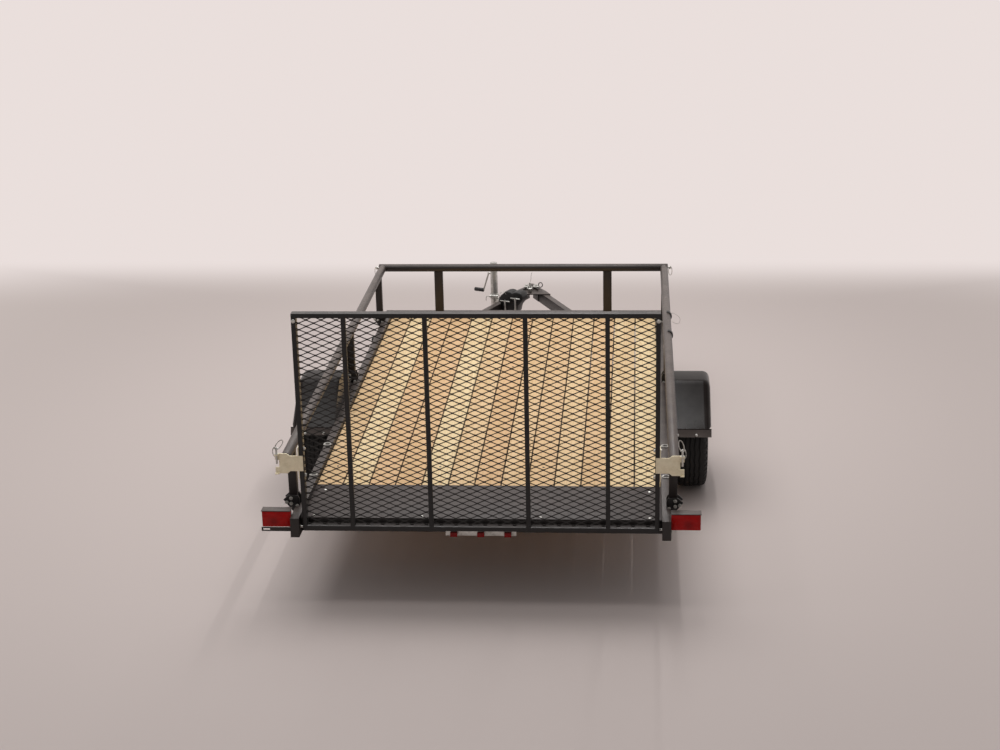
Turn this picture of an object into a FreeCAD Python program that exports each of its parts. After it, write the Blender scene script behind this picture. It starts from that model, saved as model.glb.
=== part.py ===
import FreeCAD, Part

import math
import os
import re

import Sketcher
from FreeCAD import Placement, Rotation, Vector

# Utility trailer with one axle, a planked bed, a mesh ramp gate and an A-shaped tongue.
# +Y is the way it is towed, +X its right side, +Z up. The floor is Z = 0 and the
# origin lies under the middle of the whole length. Sizes are millimetres and degrees.

SIZES = {
    # bed and frame
    "frame_length": 3720.0,
    "bed_half_width": 910.0,
    "deck_height": 460.0,
    "rail_width": 44.0,
    "rail_height": 102.0,
    "rail_proud": 28.0,
    "tube_wall": 3.0,
    "angle_depth": 50.0,
    "angle_wall": 5.0,
    "angle_count": 6.0,
    # planks and the steel plate behind them
    "plank_count": 13.0,
    "plank_gap": 4.0,
    "plank_thickness": 38.0,
    "plank_chamfer": 3.0,
    "plate_length": 450.0,
    "plate_thickness": 5.0,
    "plate_gap": 2.0,
    # tongue
    "tongue_reach": 1000.0,
    "tongue_angle": 24.0,
    "tongue_width": 44.0,
    "tongue_height": 76.0,
    "apex_past": 70.0,
    "nose_length": 165.0,
    "tongue_under": 560.0,
    # coupler
    "ball_radius": 25.4,
    "ball_clearance": 0.4,
    "coupler_wall": 6.0,
    "coupler_lap": 90.0,
    "socket_wall": 9.0,
    "socket_height": 55.0,
    "socket_dome": 14.0,
    "lever_length": 110.0,
    "lever_width": 26.0,
    "lever_thickness": 8.0,
    # ramp gate
    "gate_clearance": 14.0,
    "gate_height": 1136.0,
    "gate_drop": 46.0,
    "gate_depth": 45.0,
    "gate_tube": 22.0,
    "gate_set_in": 32.0,
    "gate_run_gap": 9.0,
    "gate_bar_width": 22.0,
    "gate_bar_depth": 22.0,
    "gate_bar_inner": 244.0,
    "gate_bar_outer": 641.0,
    "mesh_long": 74.0,
    "mesh_short": 33.0,
    "mesh_strand": 3.6,
    "mesh_thickness": 1.6,
    "mesh_layer_gap": 0.3,
    "hinge_radius": 6.0,
    "hinge_rise": 9.0,
    "hinge_clearance": 0.05,
    "hinge_head": 10.0,
    "hinge_head_length": 6.0,
    "latch_width": 100.0,
    "latch_height": 105.0,
    "latch_thickness": 5.0,
    "latch_lap": 20.0,
    "latch_notch": 38.0,
    "latch_ear": 20.0,
    "latch_neck": 12.0,
    "latch_flange_height": 168.0,
    "latch_lip": 16.0,
    "pin_radius": 5.0,
    "pin_head": 9.0,
    "pin_length": 88.0,
    "pin_drop": 46.0,
    # side and front rails
    "guard_radius": 26.0,
    "guard_wall": 3.0,
    "guard_height": 340.0,
    "guard_out": 55.0,
    "guard_end_gap": 8.0,
    "post_width": 42.0,
    "post_lap": 58.0,
    "rear_post": 195.0,
    "middle_post": 2185.0,
    "front_post_back": 260.0,
    "front_rail_back": 30.0,
    "corner_pin_length": 10.0,
    "front_post_side": 580.0,
    "front_post_width": 58.0,
    "front_post_depth": 30.0,
    "foot_outer": 51.0,
    "foot_inner": 33.0,
    "foot_height": 86.0,
    "foot_drop": 28.0,
    "foot_thickness": 8.0,
    "foot_clearance": 0.5,
    # running gear
    "axle_y": 1760.0,
    "tyre_radius": 305.0,
    "tyre_width": 185.0,
    "tread_width": 142.0,
    "tyre_belly": 84.0,
    "wheel_gap": 53.5,
    "rim_radius": 165.0,
    "rim_lip": 12.0,
    "rim_width": 140.0,
    "rim_wall": 4.0,
    "bead_clearance": 0.3,
    "disc_rise": 18.0,
    "window_count": 8.0,
    "window_height": 26.0,
    "window_width": 40.0,
    "hub_radius": 60.0,
    "hub_length": 90.0,
    "cap_length": 12.0,
    "stub_radius": 17.0,
    "stub_clearance": 0.08,
    "axle_radius": 30.0,
    "axle_seat": 8.0,
    "spindle_gap": 4.0,
    "spindle_thickness": 20.0,
    "spring_half": 320.0,
    "spring_width": 35.0,
    "leaf_thickness": 7.0,
    "leaf_count": 4.0,
    "spring_rise": 52.0,
    "spring_eye": 13.0,
    "hanger_drop": 34.0,
    "hanger_wall": 4.0,
    "hanger_half": 28.0,
    "hanger_bolt": 6.5,
    "hanger_head": 11.0,
    "hanger_clearance": 0.5,
    # fenders
    "fender_top": 668.0,
    "fender_flat": 200.0,
    "fender_half": 369.0,
    "flange_top": 466.0,
    "fender_wall": 4.0,
    "fender_gap": 0.3,
    "fender_cover": 12.5,
    "fender_skirt": 60.0,
    "fender_shoulder": 34.0,
    "flange_length": 44.0,
    # jack
    "jack_back": 340.0,
    "jack_radius": 25.4,
    "jack_leg_radius": 21.0,
    "jack_clearance": 0.4,
    "jack_top": 655.0,
    "jack_low": 250.0,
    "jack_stand_off": 40.0,
    "jack_gap": 0.5,
    "jack_pivot_radius": 16.0,
    "jack_pivot_end": 4.0,
    "jack_disc_radius": 50.0,
    "jack_cap": 12.0,
    "jack_leg_top": 400.0,
    "crank_reach": 18.0,
    "crank_drop": 84.0,
    "jack_foot": 55.0,
    "jack_foot_thickness": 6.0,
    "jack_plate": 8.0,
    "jack_plate_size": 110.0,
    "crank_length": 133.0,
    "crank_lean": 46.0,
    "crank_radius": 6.0,
    "grip_length": 70.0,
    "grip_radius": 14.0,
    # clamp between the arms
    "clamp_width": 150.0,
    "clamp_depth": 90.0,
    "clamp_height": 120.0,
    "clamp_round": 26.0,
    "clamp_rise": 62.0,
    "clamp_back": 470.0,
    "screw_radius": 7.0,
    "screw_length": 110.0,
    "screw_rise": 30.0,
    "screw_step": 28.0,
    "screw_bar": 76.0,
    # lights
    "lamp_width": 146.0,
    "lamp_height": 86.0,
    "lamp_depth": 55.0,
    "lamp_rise": 32.0,
    "lamp_guard": 4.0,
    "lamp_set_in": 20.0,
    "bar_light_width": 310.0,
    "bar_light_height": 24.0,
    "bar_light_depth": 20.0,
    "bar_light_drop": 18.0,
    "bar_lens_width": 36.0,
    "bracket_reach": 152.0,
    "bracket_height": 22.0,
    "bracket_drop": 2.0,
    "slot_length": 34.0,
    "slot_height": 9.0,
    "marker_back": 570.0,
    "marker_length": 64.0,
    "marker_height": 40.0,
    "marker_depth": 24.0,
}

# Sums of those sizes that several pieces share
SUMS = {
    "middle": "(frame_length + tongue_reach) / 2",
    "rail_bottom": "deck_height + rail_proud - rail_height",
    "rail_top": "deck_height + rail_proud",
    "rail_centre": "bed_half_width + rail_width / 2",
    "plank_bottom": "deck_height - plank_thickness",
    "angle_height": "plank_bottom - rail_bottom",
    "plate_start": "gate_set_in + gate_depth + gate_run_gap",
    "plank_start": "plate_start + plate_length",
    "bed_end": "frame_length - rail_width",
    "plank_pitch": "2 * bed_half_width / plank_count",
    "slope": "tan(tongue_angle * 1 deg)",
    "arm_across": "tongue_width / cos(tongue_angle * 1 deg)",
    "tip_y": "frame_length + tongue_reach",
    "apex_y": "tip_y + apex_past",
    "arm_start": "frame_length - tongue_under",
    "arm_end": "tip_y - nose_length",
    "arm_top": "rail_bottom",
    "arm_bottom": "arm_top - tongue_height",
    "ball_y": "tip_y - socket_radius",
    "socket_radius": "ball_radius + socket_wall",
    "gate_half": "bed_half_width - gate_clearance",
    "gate_bottom": "deck_height - gate_drop",
    "gate_top": "gate_bottom + gate_height",
    "hinge_y": "gate_set_in + gate_depth / 2",
    "hinge_z": "gate_bottom + hinge_rise",
    "pin_x": "gate_half + latch_width",
    "pin_y": "gate_set_in - latch_thickness - latch_lip / 2",
    "pin_low": "guard_z + guard_radius - pin_drop - latch_thickness",
    "guard_z": "deck_height + guard_height",
    "guard_side": "bed_half_width + guard_out",
    "guard_end": "gate_set_in + guard_end_gap",
    "front_rail_y": "frame_length - front_rail_back",
    "front_post": "frame_length - front_post_back",
    "post_foot": "rail_top - foot_drop + post_lap",
    "track_half": "bed_half_width + rail_width + wheel_gap + tyre_width / 2",
    "bead_radius": "rim_radius + bead_clearance",
    "eye_z": "rail_bottom - hanger_drop",
    "spring_curve": "(spring_half^2 + spring_rise^2) / (2 * spring_rise)",
    "curve_z": "eye_z - spring_rise + spring_curve",
    "beam_z": "eye_z - spring_rise - leaf_count * leaf_thickness - axle_seat - axle_radius",
    "spindle_side": "bed_half_width + rail_width + spindle_gap",
    "fender_inner": "bed_half_width + rail_width + fender_gap",
    "fender_outer": "track_half + tyre_width / 2 + fender_cover",
    "fender_lean": "atan((fender_top - flange_top) / (fender_half - fender_flat / 2))",
    "pivot_z": "arm_top - tongue_height / 2",
    "jack_y": "tip_y - jack_back",
    "clamp_y": "tip_y - clamp_back",
    "marker_y": "frame_length - marker_back",
    "clamp_side": "(apex_y - clamp_y) * slope - arm_across - clamp_width / 2 / cos(tongue_angle * 1 deg)",
    "crank_z": "jack_top - crank_drop",
    "jack_side": "(apex_y - jack_y) * slope + (jack_stand_off + jack_radius) / cos(tongue_angle * 1 deg)",
}

doc = FreeCAD.newDocument("UtilityTrailer")
sheet = doc.addObject("Spreadsheet::Sheet", "Dims")
for row, (alias, size) in enumerate(SIZES.items(), start=1):
    sheet.set("A%d" % row, alias)
    sheet.set("B%d" % row, str(size))
    sheet.setAlias("B%d" % row, alias)
doc.recompute()

NODES = []
SIDES = (("left", -1), ("right", 1))
BACK = Rotation(Vector(1, 0, 0), -90)
SIDEWAYS = Rotation(Vector(0, 1, 0), 90)


def formula(text):
    """The same sum written with the sheet's cells."""
    def cell(found):
        word = found.group()
        if word in SUMS:
            return "(" + formula(SUMS[word]) + ")"
        return "Dims." + word if word in SIZES else word
    return re.sub(r"[a-z_]+", cell, str(text))


def value(text):
    """The number that a sum of sizes comes to."""
    result = sheet.evalExpression(formula(text))
    return float(getattr(result, "Value", result))


def keep(obj, label):
    """Names a finished sub-part; its file has the same name."""
    obj.Label = label
    NODES.append(obj)
    return obj


def move(obj, place):
    """Binds the place of a piece; Y is counted from the rear end of the frame."""
    obj.setExpression("Placement.Base.x", formula(place[0]))
    obj.setExpression("Placement.Base.y", formula("%s - middle" % place[1]))
    obj.setExpression("Placement.Base.z", formula(place[2]))


def box(name, size, place):
    """A block from its three sizes and its low corner."""
    obj = doc.addObject("Part::Box", name)
    for prop, text in zip(("Length", "Width", "Height"), size):
        obj.setExpression(prop, formula(text))
    move(obj, place)
    return obj


def rod(name, radius, length, place, turn=Rotation()):
    """A round bar from the centre of its first end."""
    obj = doc.addObject("Part::Cylinder", name)
    obj.setExpression("Radius", formula(radius))
    obj.setExpression("Height", formula(length))
    obj.Placement = Placement(Vector(), turn)
    move(obj, place)
    return obj


def fuse(name, parts):
    obj = doc.addObject("Part::MultiFuse", name)
    obj.Shapes = parts
    return obj


def group(name, parts):
    """Solids that stand apart but belong to one sub-part."""
    obj = doc.addObject("Part::Compound", name)
    obj.Links = parts
    return obj


def cut(name, base, tool):
    obj = doc.addObject("Part::Cut", name)
    obj.Base = base
    obj.Tool = tool
    return obj


def tube(name, radius, wall, length, place, turn=Rotation()):
    """A round tube that is open at both ends."""
    outer = rod(name + "Outer", radius, length, place, turn)
    inner = rod(name + "Inner", "%s - (%s)" % (radius, wall), length, place, turn)
    return cut(name, outer, inner)


def bolt_head(name, radius, thick, place):
    """A six-sided bolt head whose axis runs along X, from the centre of its first face."""
    corners = []
    for number in range(6):
        turn = math.radians(60 * number + 30)
        corners.append(("%s * %.6f" % (radius, math.cos(turn)), "%s * %.6f" % (radius, math.sin(turn))))
    return pad(name, "YZ_Plane", corners, thick, place)


def origin_plane(body, role):
    return [item for item in body.Origin.OriginFeatures if item.Role == role][0]


def outline(sketch, points):
    """A closed outline; every corner follows the sheet."""
    count = len(points)
    numbers = [(value(across), value(along)) for across, along in points]
    first = sketch.GeometryCount
    for i in range(count):
        ends = [Vector(*numbers[j % count], 0) for j in (i, i + 1)]
        sketch.addGeometry(Part.LineSegment(*ends), False)
    for i in range(count):
        sketch.addConstraint(Sketcher.Constraint("Coincident", first + i, 2, first + (i + 1) % count, 1))
    for i, corner in enumerate(points):
        for kind, text, number in zip(("DistanceX", "DistanceY"), corner, numbers[i]):
            index = sketch.addConstraint(Sketcher.Constraint(kind, -1, 1, first + i, 1, number))
            sketch.setExpression("Constraints[%d]" % index, formula(text))


def circle(sketch, across, along, radius):
    """A round hole, or a round outline."""
    centre = Vector(value(across), value(along), 0)
    number = sketch.addGeometry(Part.Circle(centre, Vector(0, 0, 1), value(radius)), False)
    for kind, text, size in (("DistanceX", across, centre.x), ("DistanceY", along, centre.y)):
        index = sketch.addConstraint(Sketcher.Constraint(kind, -1, 1, number, 3, size))
        sketch.setExpression("Constraints[%d]" % index, formula(text))
    index = sketch.addConstraint(Sketcher.Constraint("Radius", number, value(radius)))
    sketch.setExpression("Constraints[%d]" % index, formula(radius))


def sketch_on(body, name, role):
    sketch = body.newObject("Sketcher::SketchObject", name)
    sketch.AttachmentSupport = (origin_plane(body, role), [""])
    sketch.MapMode = "FlatFace"
    return sketch


def pad(name, role, points, depth, place, holes=(), middle=False, back=False):
    """A plate or bar: an outline on one of the body's planes, pushed out."""
    body = doc.addObject("PartDesign::Body", name)
    sketch = sketch_on(body, name + "Outline", role)
    outline(sketch, points)
    for hole in holes:
        circle(sketch, *hole)
    feature = body.newObject("PartDesign::Pad", name + "Pad")
    feature.Profile = sketch
    feature.setExpression("Length", formula(depth))
    feature.Midplane = middle
    feature.Reversed = back
    body.Tip = feature
    move(body, place)
    return body


def turned(name, points, place, angle="360", middle=False):
    """A body turned about its own X axis; each point is (along X, radius)."""
    body = doc.addObject("PartDesign::Body", name)
    sketch = sketch_on(body, name + "Outline", "XY_Plane")
    outline(sketch, points)
    feature = body.newObject("PartDesign::Revolution", name + "Turn")
    feature.Profile = sketch
    feature.ReferenceAxis = (sketch, ["H_Axis"])
    feature.Midplane = middle
    feature.setExpression("Angle", formula(angle))
    body.Tip = feature
    move(body, place)
    return body


# Side rails of the frame, closed behind, with the bore of the gate's hinge pin
for side, sign in SIDES:
    corner = "%d * rail_centre - rail_width / 2" % sign
    outer = box("RailOuter" + side, ("rail_width", "frame_length", "rail_height"),
                (corner, "0", "rail_bottom"))
    inner = box("RailInner" + side,
                ("rail_width - 2 * tube_wall", "frame_length", "rail_height - 2 * tube_wall"),
                (corner + " + tube_wall", "tube_wall", "rail_bottom + tube_wall"))
    bore = rod("RailBore" + side, "hinge_radius + hinge_clearance", "2 * rail_width",
               ("%d * rail_centre - rail_width" % sign, "hinge_y", "hinge_z"), SIDEWAYS)
    keep(cut("Rail" + side, outer, fuse("RailVoid" + side, [inner, bore])), "frame_rail_" + side)

# Cross tubes at the bed's ends, and angles under the planks
for name, start in (("front_cross_tube", "bed_end"), ("rear_cross_tube", "plate_start")):
    height = "rail_height" if name.startswith("front") else "deck_height - plate_thickness - rail_bottom"
    outer = box(name + "_outer", ("2 * bed_half_width", "rail_width", height),
                ("-bed_half_width", start, "rail_bottom"))
    inner = box(name + "_inner",
                ("2 * bed_half_width", "rail_width - 2 * tube_wall", height + " - 2 * tube_wall"),
                ("-bed_half_width", start + " + tube_wall", "rail_bottom + tube_wall"))
    keep(cut(name + "_cut", outer, inner), name)

angles = []
for number in range(int(SIZES["angle_count"])):
    start = "plank_start + %d * (bed_end - plank_start - angle_depth) / angle_count" % number
    angles.append(pad("CrossAngle%d" % (number + 1), "YZ_Plane",
                      (("0", "0"), ("angle_wall", "0"), ("angle_wall", "angle_height - angle_wall"),
                       ("angle_depth", "angle_height - angle_wall"), ("angle_depth", "angle_height"),
                       ("0", "angle_height")),
                      "2 * bed_half_width", ("-bed_half_width", start, "rail_bottom")))
keep(group("CrossAngles", angles), "cross_angles")

# Planks side by side with eased top edges, and the steel plate behind them
PLANK = (("0", "0"), ("plank_pitch - plank_gap", "0"),
         ("plank_pitch - plank_gap", "plank_thickness - plank_chamfer"),
         ("plank_pitch - plank_gap - plank_chamfer", "plank_thickness"), ("plank_chamfer", "plank_thickness"),
         ("0", "plank_thickness - plank_chamfer"))
planks = []
for number in range(int(SIZES["plank_count"])):
    planks.append(pad("Plank%02d" % (number + 1), "XZ_Plane", PLANK, "bed_end - plank_start",
                      ("-bed_half_width + %d * plank_pitch + plank_gap / 2" % number, "plank_start",
                       "plank_bottom"), back=True))
keep(group("Planks", planks), "deck_planks")
keep(box("Plate", ("2 * bed_half_width", "plate_length - plate_gap", "plate_thickness"),
         ("-bed_half_width", "plate_start", "deck_height - plate_thickness")), "rear_deck_plate")

# Tongue arms, which meet behind the coupler and run back under the bed
for side, sign in SIDES:
    def arm(name, inset, low, high):
        """One arm's outline, drawn in by a wall, from a low to a high plane."""
        near = "(apex_y - arm_start) * slope"
        far = "(apex_y - arm_end) * slope"
        inset_across = "%s / cos(tongue_angle * 1 deg)" % inset
        points = [("%d * (%s - %s)" % (sign, near, inset_across), "arm_start - arm_end"),
                  ("%d * (%s - %s)" % (sign, far, inset_across), "0"),
                  ("%d * (%s - arm_across + %s)" % (sign, far, inset_across), "0"),
                  ("%d * (%s - arm_across + %s)" % (sign, near, inset_across), "arm_start - arm_end")]
        return pad(name, "XY_Plane", points, "%s - %s" % (high, low), ("0", "arm_end", low))
    outer = arm("ArmOuter" + side, "0", "arm_bottom", "arm_top")
    inner = arm("ArmInner" + side, "tube_wall", "(arm_bottom + tube_wall)", "(arm_top - tube_wall)")
    keep(cut("Arm" + side, outer, inner), "tongue_arm_" + side)

# Coupler: a folded cover over the arms' ends that narrows to the ball socket
def cover(name, wall, low, high, lap):
    """The coupler's outline seen from above, drawn in by its wall, along the arms and then to the nose."""
    across = "(coupler_wall - (%s)) / cos(tongue_angle * 1 deg)" % wall
    rear = "((apex_y - arm_end + coupler_lap + %s) * slope + %s)" % (lap, across)
    middle = "((apex_y - arm_end) * slope + %s)" % across
    front = "(socket_radius + 2 - (%s))" % wall
    right = [(rear, "-coupler_lap - " + lap), (middle, "0"), (front, "ball_y - arm_end - (%s)" % wall)]
    left = [("-" + across_text, along) for across_text, along in reversed(right)]
    return pad(name, "XY_Plane", right + left, "%s - %s" % (high, low), ("0", "arm_end", low))


shell = cut("CouplerShell", cover("CoverOuter", "0", "arm_bottom", "(arm_top + coupler_wall)", "0"),
            cover("CoverInner", "coupler_wall", "(arm_bottom - 5)", "arm_top", "5"))
nose = box("NoseRelief", ("4 * socket_radius", "4 * socket_radius", "tongue_height"),
           ("-2 * socket_radius", "arm_end + socket_radius",
            "arm_top + coupler_wall - socket_height - tongue_height"))
shell = cut("CouplerSkirts", shell, nose)
socket = rod("Socket", "socket_radius", "socket_height",
             ("0", "ball_y", "arm_top + coupler_wall - socket_height"))
dome = doc.addObject("Part::Cone", "SocketDome")
dome.setExpression("Radius1", formula("socket_radius"))
dome.setExpression("Radius2", formula("socket_radius - socket_dome"))
dome.setExpression("Height", formula("socket_dome"))
move(dome, ("0", "ball_y", "arm_top + coupler_wall"))
head = fuse("CouplerHead", [shell, socket, dome])
ball = doc.addObject("Part::Sphere", "BallSpace")
ball.setExpression("Radius", formula("ball_radius + ball_clearance"))
move(ball, ("0", "ball_y", "arm_top + coupler_wall - socket_wall - ball_radius"))
mouth = rod("BallMouth", "ball_radius + ball_clearance", "socket_height",
            ("0", "ball_y", "arm_top + coupler_wall - socket_wall - ball_radius - socket_height"))
keep(cut("Coupler", head, fuse("BallRoom", [ball, mouth])), "coupler")
keep(pad("Lever", "YZ_Plane",
         (("0", "0"), ("lever_length", "0"), ("lever_length", "2 * lever_thickness"),
          ("lever_length * 0.75", "3 * lever_thickness"), ("lever_length * 0.3", "2 * lever_thickness"),
          ("-lever_thickness", "4.5 * lever_thickness"), ("-2 * lever_thickness", "4 * lever_thickness")),
         "lever_width", ("-lever_width / 2", "arm_end - coupler_lap / 2", "arm_top + coupler_wall")),
     "coupler_latch")

# Ramp gate: outer frame, four uprights and an expanded mesh on their bed side
for name, half, low, high, depth in (("Outer", "gate_half", "gate_bottom", "gate_top", "gate_depth"),
                                     ("Inner", "gate_half - gate_tube", "gate_bottom + gate_tube",
                                      "gate_top - gate_tube", "3 * gate_depth")):
    box("Gate" + name, ("2 * (%s)" % half, depth, "%s - (%s)" % (high, low)),
        ("-(%s)" % half, "gate_set_in" if name == "Outer" else "gate_set_in - gate_depth", low))
bars = []
for number, place in enumerate(("-gate_bar_outer", "-gate_bar_inner", "gate_bar_inner", "gate_bar_outer")):
    bars.append(box("GateBar%d" % (number + 1),
                    ("gate_bar_width", "gate_bar_depth", "gate_height - 2 * gate_tube"),
                    (place + " - gate_bar_width / 2", "gate_set_in", "gate_bottom + gate_tube")))
frame = cut("GateRing", doc.GateOuter, doc.GateInner)
bore = rod("GateBore", "hinge_radius + hinge_clearance", "3 * bed_half_width",
           ("-1.5 * bed_half_width", "hinge_y", "hinge_z"), SIDEWAYS)
keep(cut("GateFrame", fuse("GateBars", [frame] + bars), bore), "gate_frame")


def mesh_layer(lean):
    """One layer of the expanded mesh: slanted strands cut to the opening of the gate."""
    half = value("gate_half - gate_tube")
    low = value("gate_bottom + gate_tube")
    high = value("gate_top - gate_tube")
    long_way = value("mesh_long")
    short_way = value("mesh_short")
    ratio = short_way / long_way
    cover_up = value("mesh_strand") / 2 * math.hypot(1.0, ratio)
    start = value("gate_set_in + gate_bar_depth")
    start = start if lean > 0 else start + value("mesh_thickness + mesh_layer_gap")
    window = Part.makeBox(2 * half, value("mesh_thickness"), high - low, Vector(-half, start, low))
    strands = []
    rise = 2 * half * ratio
    count = int((high - low + rise) / short_way) + 1
    for number in range(count + 1):
        left = low - rise + number * short_way
        ends = (left, left + rise) if lean > 0 else (left + rise, left)
        corners = [Vector(-half, start, ends[0] - cover_up), Vector(half, start, ends[1] - cover_up),
                   Vector(half, start, ends[1] + cover_up), Vector(-half, start, ends[0] + cover_up)]
        face = Part.Face(Part.makePolygon(corners + corners[:1]))
        strand = face.extrude(Vector(0, value("mesh_thickness"), 0)).common(window)
        strands.extend(solid for solid in strand.Solids if solid.Volume > 1.0)
    return strands


mesh = doc.addObject("Part::Feature", "GateMesh")
mesh.Shape = Part.makeCompound(mesh_layer(1) + mesh_layer(-1))
move(mesh, ("0", "0", "0"))
keep(mesh, "gate_mesh")

# Hinge pins of the gate, through the rails and into the uprights of its frame
pins = []
for side, sign in SIDES:
    start = "gate_half - gate_tube" if sign > 0 else "-bed_half_width - rail_width - hinge_head_length"
    shank = rod("HingeShank" + side, "hinge_radius",
                "gate_tube + gate_clearance + rail_width + hinge_head_length",
                (start, "hinge_y", "hinge_z"), SIDEWAYS)
    head_start = "bed_half_width + rail_width" if sign > 0 else start
    head = bolt_head("HingeHead" + side, "hinge_head", "hinge_head_length",
                     (head_start, "hinge_y", "hinge_z"))
    pins.append(fuse("HingePin" + side, [shank, head]))
keep(group("HingePins", pins), "gate_hinge_pins")

# Latch plates on the gate: a neck, a notch on the outer side, a flange along the gate's side and
# two lips, of which the upper one holds a pin
plates = []
pins = []
for side, sign in SIDES:
    points = [("0", "latch_neck"), ("latch_lap + latch_width * 0.45", "latch_neck"),
              ("latch_lap + latch_width * 0.6", "0"), ("latch_lap + latch_width + latch_ear", "0"),
              ("latch_lap + latch_width + latch_ear", "(latch_height - latch_notch) / 2"),
              ("latch_lap + latch_width", "(latch_height - latch_notch) / 2"),
              ("latch_lap + latch_width", "(latch_height + latch_notch) / 2"),
              ("latch_lap + latch_width + latch_ear", "(latch_height + latch_notch) / 2"),
              ("latch_lap + latch_width + latch_ear", "latch_height"),
              ("latch_lap + latch_width * 0.6", "latch_height"),
              ("latch_lap + latch_width * 0.45", "latch_height - latch_neck"),
              ("0", "latch_height - latch_neck")]
    points = [("%d * (%s)" % (sign, across), along) for across, along in points]
    plate = pad("LatchPlate" + side, "XZ_Plane", points, "latch_thickness",
                ("%d * (gate_half - latch_lap)" % sign, "gate_set_in",
                 "guard_z + guard_radius - latch_height"))
    flange = box("LatchFlange" + side,
                 ("latch_thickness", "gate_depth + latch_thickness", "latch_flange_height"),
                 ("gate_half" if sign > 0 else "-gate_half - latch_thickness",
                  "gate_set_in - latch_thickness",
                  "guard_z + guard_radius - latch_height / 2 - latch_flange_height / 2"))
    lips = []
    for name, low in (("Upper", "guard_z + guard_radius - latch_thickness"),
                      ("Lower", "guard_z + guard_radius - latch_height")):
        lips.append(box(name + "Lip" + side, ("latch_ear", "latch_lip", "latch_thickness"),
                        ("pin_x" if sign > 0 else "-pin_x - latch_ear",
                         "gate_set_in - latch_thickness - latch_lip", low)))
    hole = rod("PinHole" + side, "pin_radius + hinge_clearance", "2 * pin_length",
               ("%d * (pin_x + latch_ear / 2)" % sign, "pin_y", "pin_low"))
    plates.append(cut("LatchCut" + side, fuse("LatchPieces" + side, [plate, flange] + lips), hole))
    middle = "%d * (pin_x + latch_ear / 2)" % sign
    shank = rod("PinShank" + side, "pin_radius", "pin_length", (middle, "pin_y", "pin_low"))
    head = rod("PinHead" + side, "pin_head", "pin_radius", (middle, "pin_y", "guard_z + guard_radius"))
    pins.append(fuse("LatchPin" + side, [shank, head]))
keep(group("LatchPlates", plates), "gate_latch_plates")
keep(group("LatchPins", pins), "latch_pins")

# Side rails of round tube on square posts. Each post is held by a pair of shield-shaped foot
# plates, which hook over the outer top corner of the frame rail; points go outward and up.
FOOT = (("-foot_inner", "foot_drop + foot_clearance"), ("-foot_inner", "foot_height * 0.78"),
        ("-foot_inner * 0.75", "foot_height"), ("foot_inner * 0.75", "foot_height"),
        ("foot_outer", "foot_height * 0.72"), ("foot_outer * 0.1", "0"),
        ("rail_width - guard_out + foot_clearance", "0"),
        ("rail_width - guard_out + foot_clearance", "foot_drop + foot_clearance"))
for side, sign in SIDES:
    keep(tube("Guard" + side, "guard_radius", "guard_wall", "front_rail_y - guard_radius - guard_end",
              ("%d * guard_side" % sign, "guard_end", "guard_z"), BACK), "side_rail_" + side)
    posts = []
    feet = []
    for name, place in (("Rear", "rear_post"), ("Middle", "middle_post"), ("Front", "front_post")):
        post = box(name + "Post" + side, ("post_width", "post_width", "guard_z - post_foot"),
                   ("%d * guard_side - post_width / 2" % sign, place + " - post_width / 2", "post_foot"))
        saddle = rod(name + "Saddle" + side, "guard_radius", "2 * post_width",
                     ("%d * guard_side" % sign, place + " - post_width", "guard_z"), BACK)
        posts.append(cut(name + "PostCut" + side, post, saddle))
        points = [("%d * (%s)" % (sign, across), along) for across, along in FOOT]
        for face, start in (("Back", " - post_width / 2"), ("Fore", " + post_width / 2 + foot_thickness")):
            feet.append(pad(name + face + "Foot" + side, "XZ_Plane", points, "foot_thickness",
                            ("%d * guard_side" % sign, place + start, "rail_top - foot_drop")))
    keep(group("Posts" + side, posts), "rail_posts_" + side)
    keep(group("Feet" + side, feet), "post_feet_" + side)

# Front rail, closed at both ends, where a pin stands out, and its two posts
outer = rod("FrontTube", "guard_radius", "2 * (guard_side + guard_radius)",
            ("-guard_side - guard_radius", "front_rail_y", "guard_z"), SIDEWAYS)
inner = rod("FrontVoid", "guard_radius - guard_wall", "2 * (guard_side + guard_radius - guard_wall)",
            ("-guard_side - guard_radius + guard_wall", "front_rail_y", "guard_z"), SIDEWAYS)
keep(cut("FrontRail", outer, inner), "front_rail")
pins = []
for side, sign in SIDES:
    start = "guard_side + guard_radius" if sign > 0 else "-guard_side - guard_radius - corner_pin_length"
    shank = rod("CornerShank" + side, "pin_radius", "corner_pin_length",
                (start, "front_rail_y", "guard_z"), SIDEWAYS)
    head_start = "guard_side + guard_radius + corner_pin_length" if sign > 0 else start + " - pin_radius"
    head = rod("CornerHead" + side, "pin_head", "pin_radius",
               (head_start, "front_rail_y", "guard_z"), SIDEWAYS)
    pins.append(fuse("CornerPin" + side, [shank, head]))
keep(group("CornerPins", pins), "corner_pins")
posts = []
for side, sign in SIDES:
    post = box("FrontRailPost" + side, ("front_post_width", "front_post_depth", "guard_z - rail_top"),
               ("%d * front_post_side - front_post_width / 2" % sign, "front_rail_y - front_post_depth / 2",
                "rail_top"))
    saddle = rod("FrontSaddle" + side, "guard_radius", "2 * front_post_width",
                 ("%d * front_post_side - front_post_width" % sign, "front_rail_y", "guard_z"), SIDEWAYS)
    posts.append(cut("FrontRailPostCut" + side, post, saddle))
keep(group("FrontRailPosts", posts), "front_rail_posts")

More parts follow.
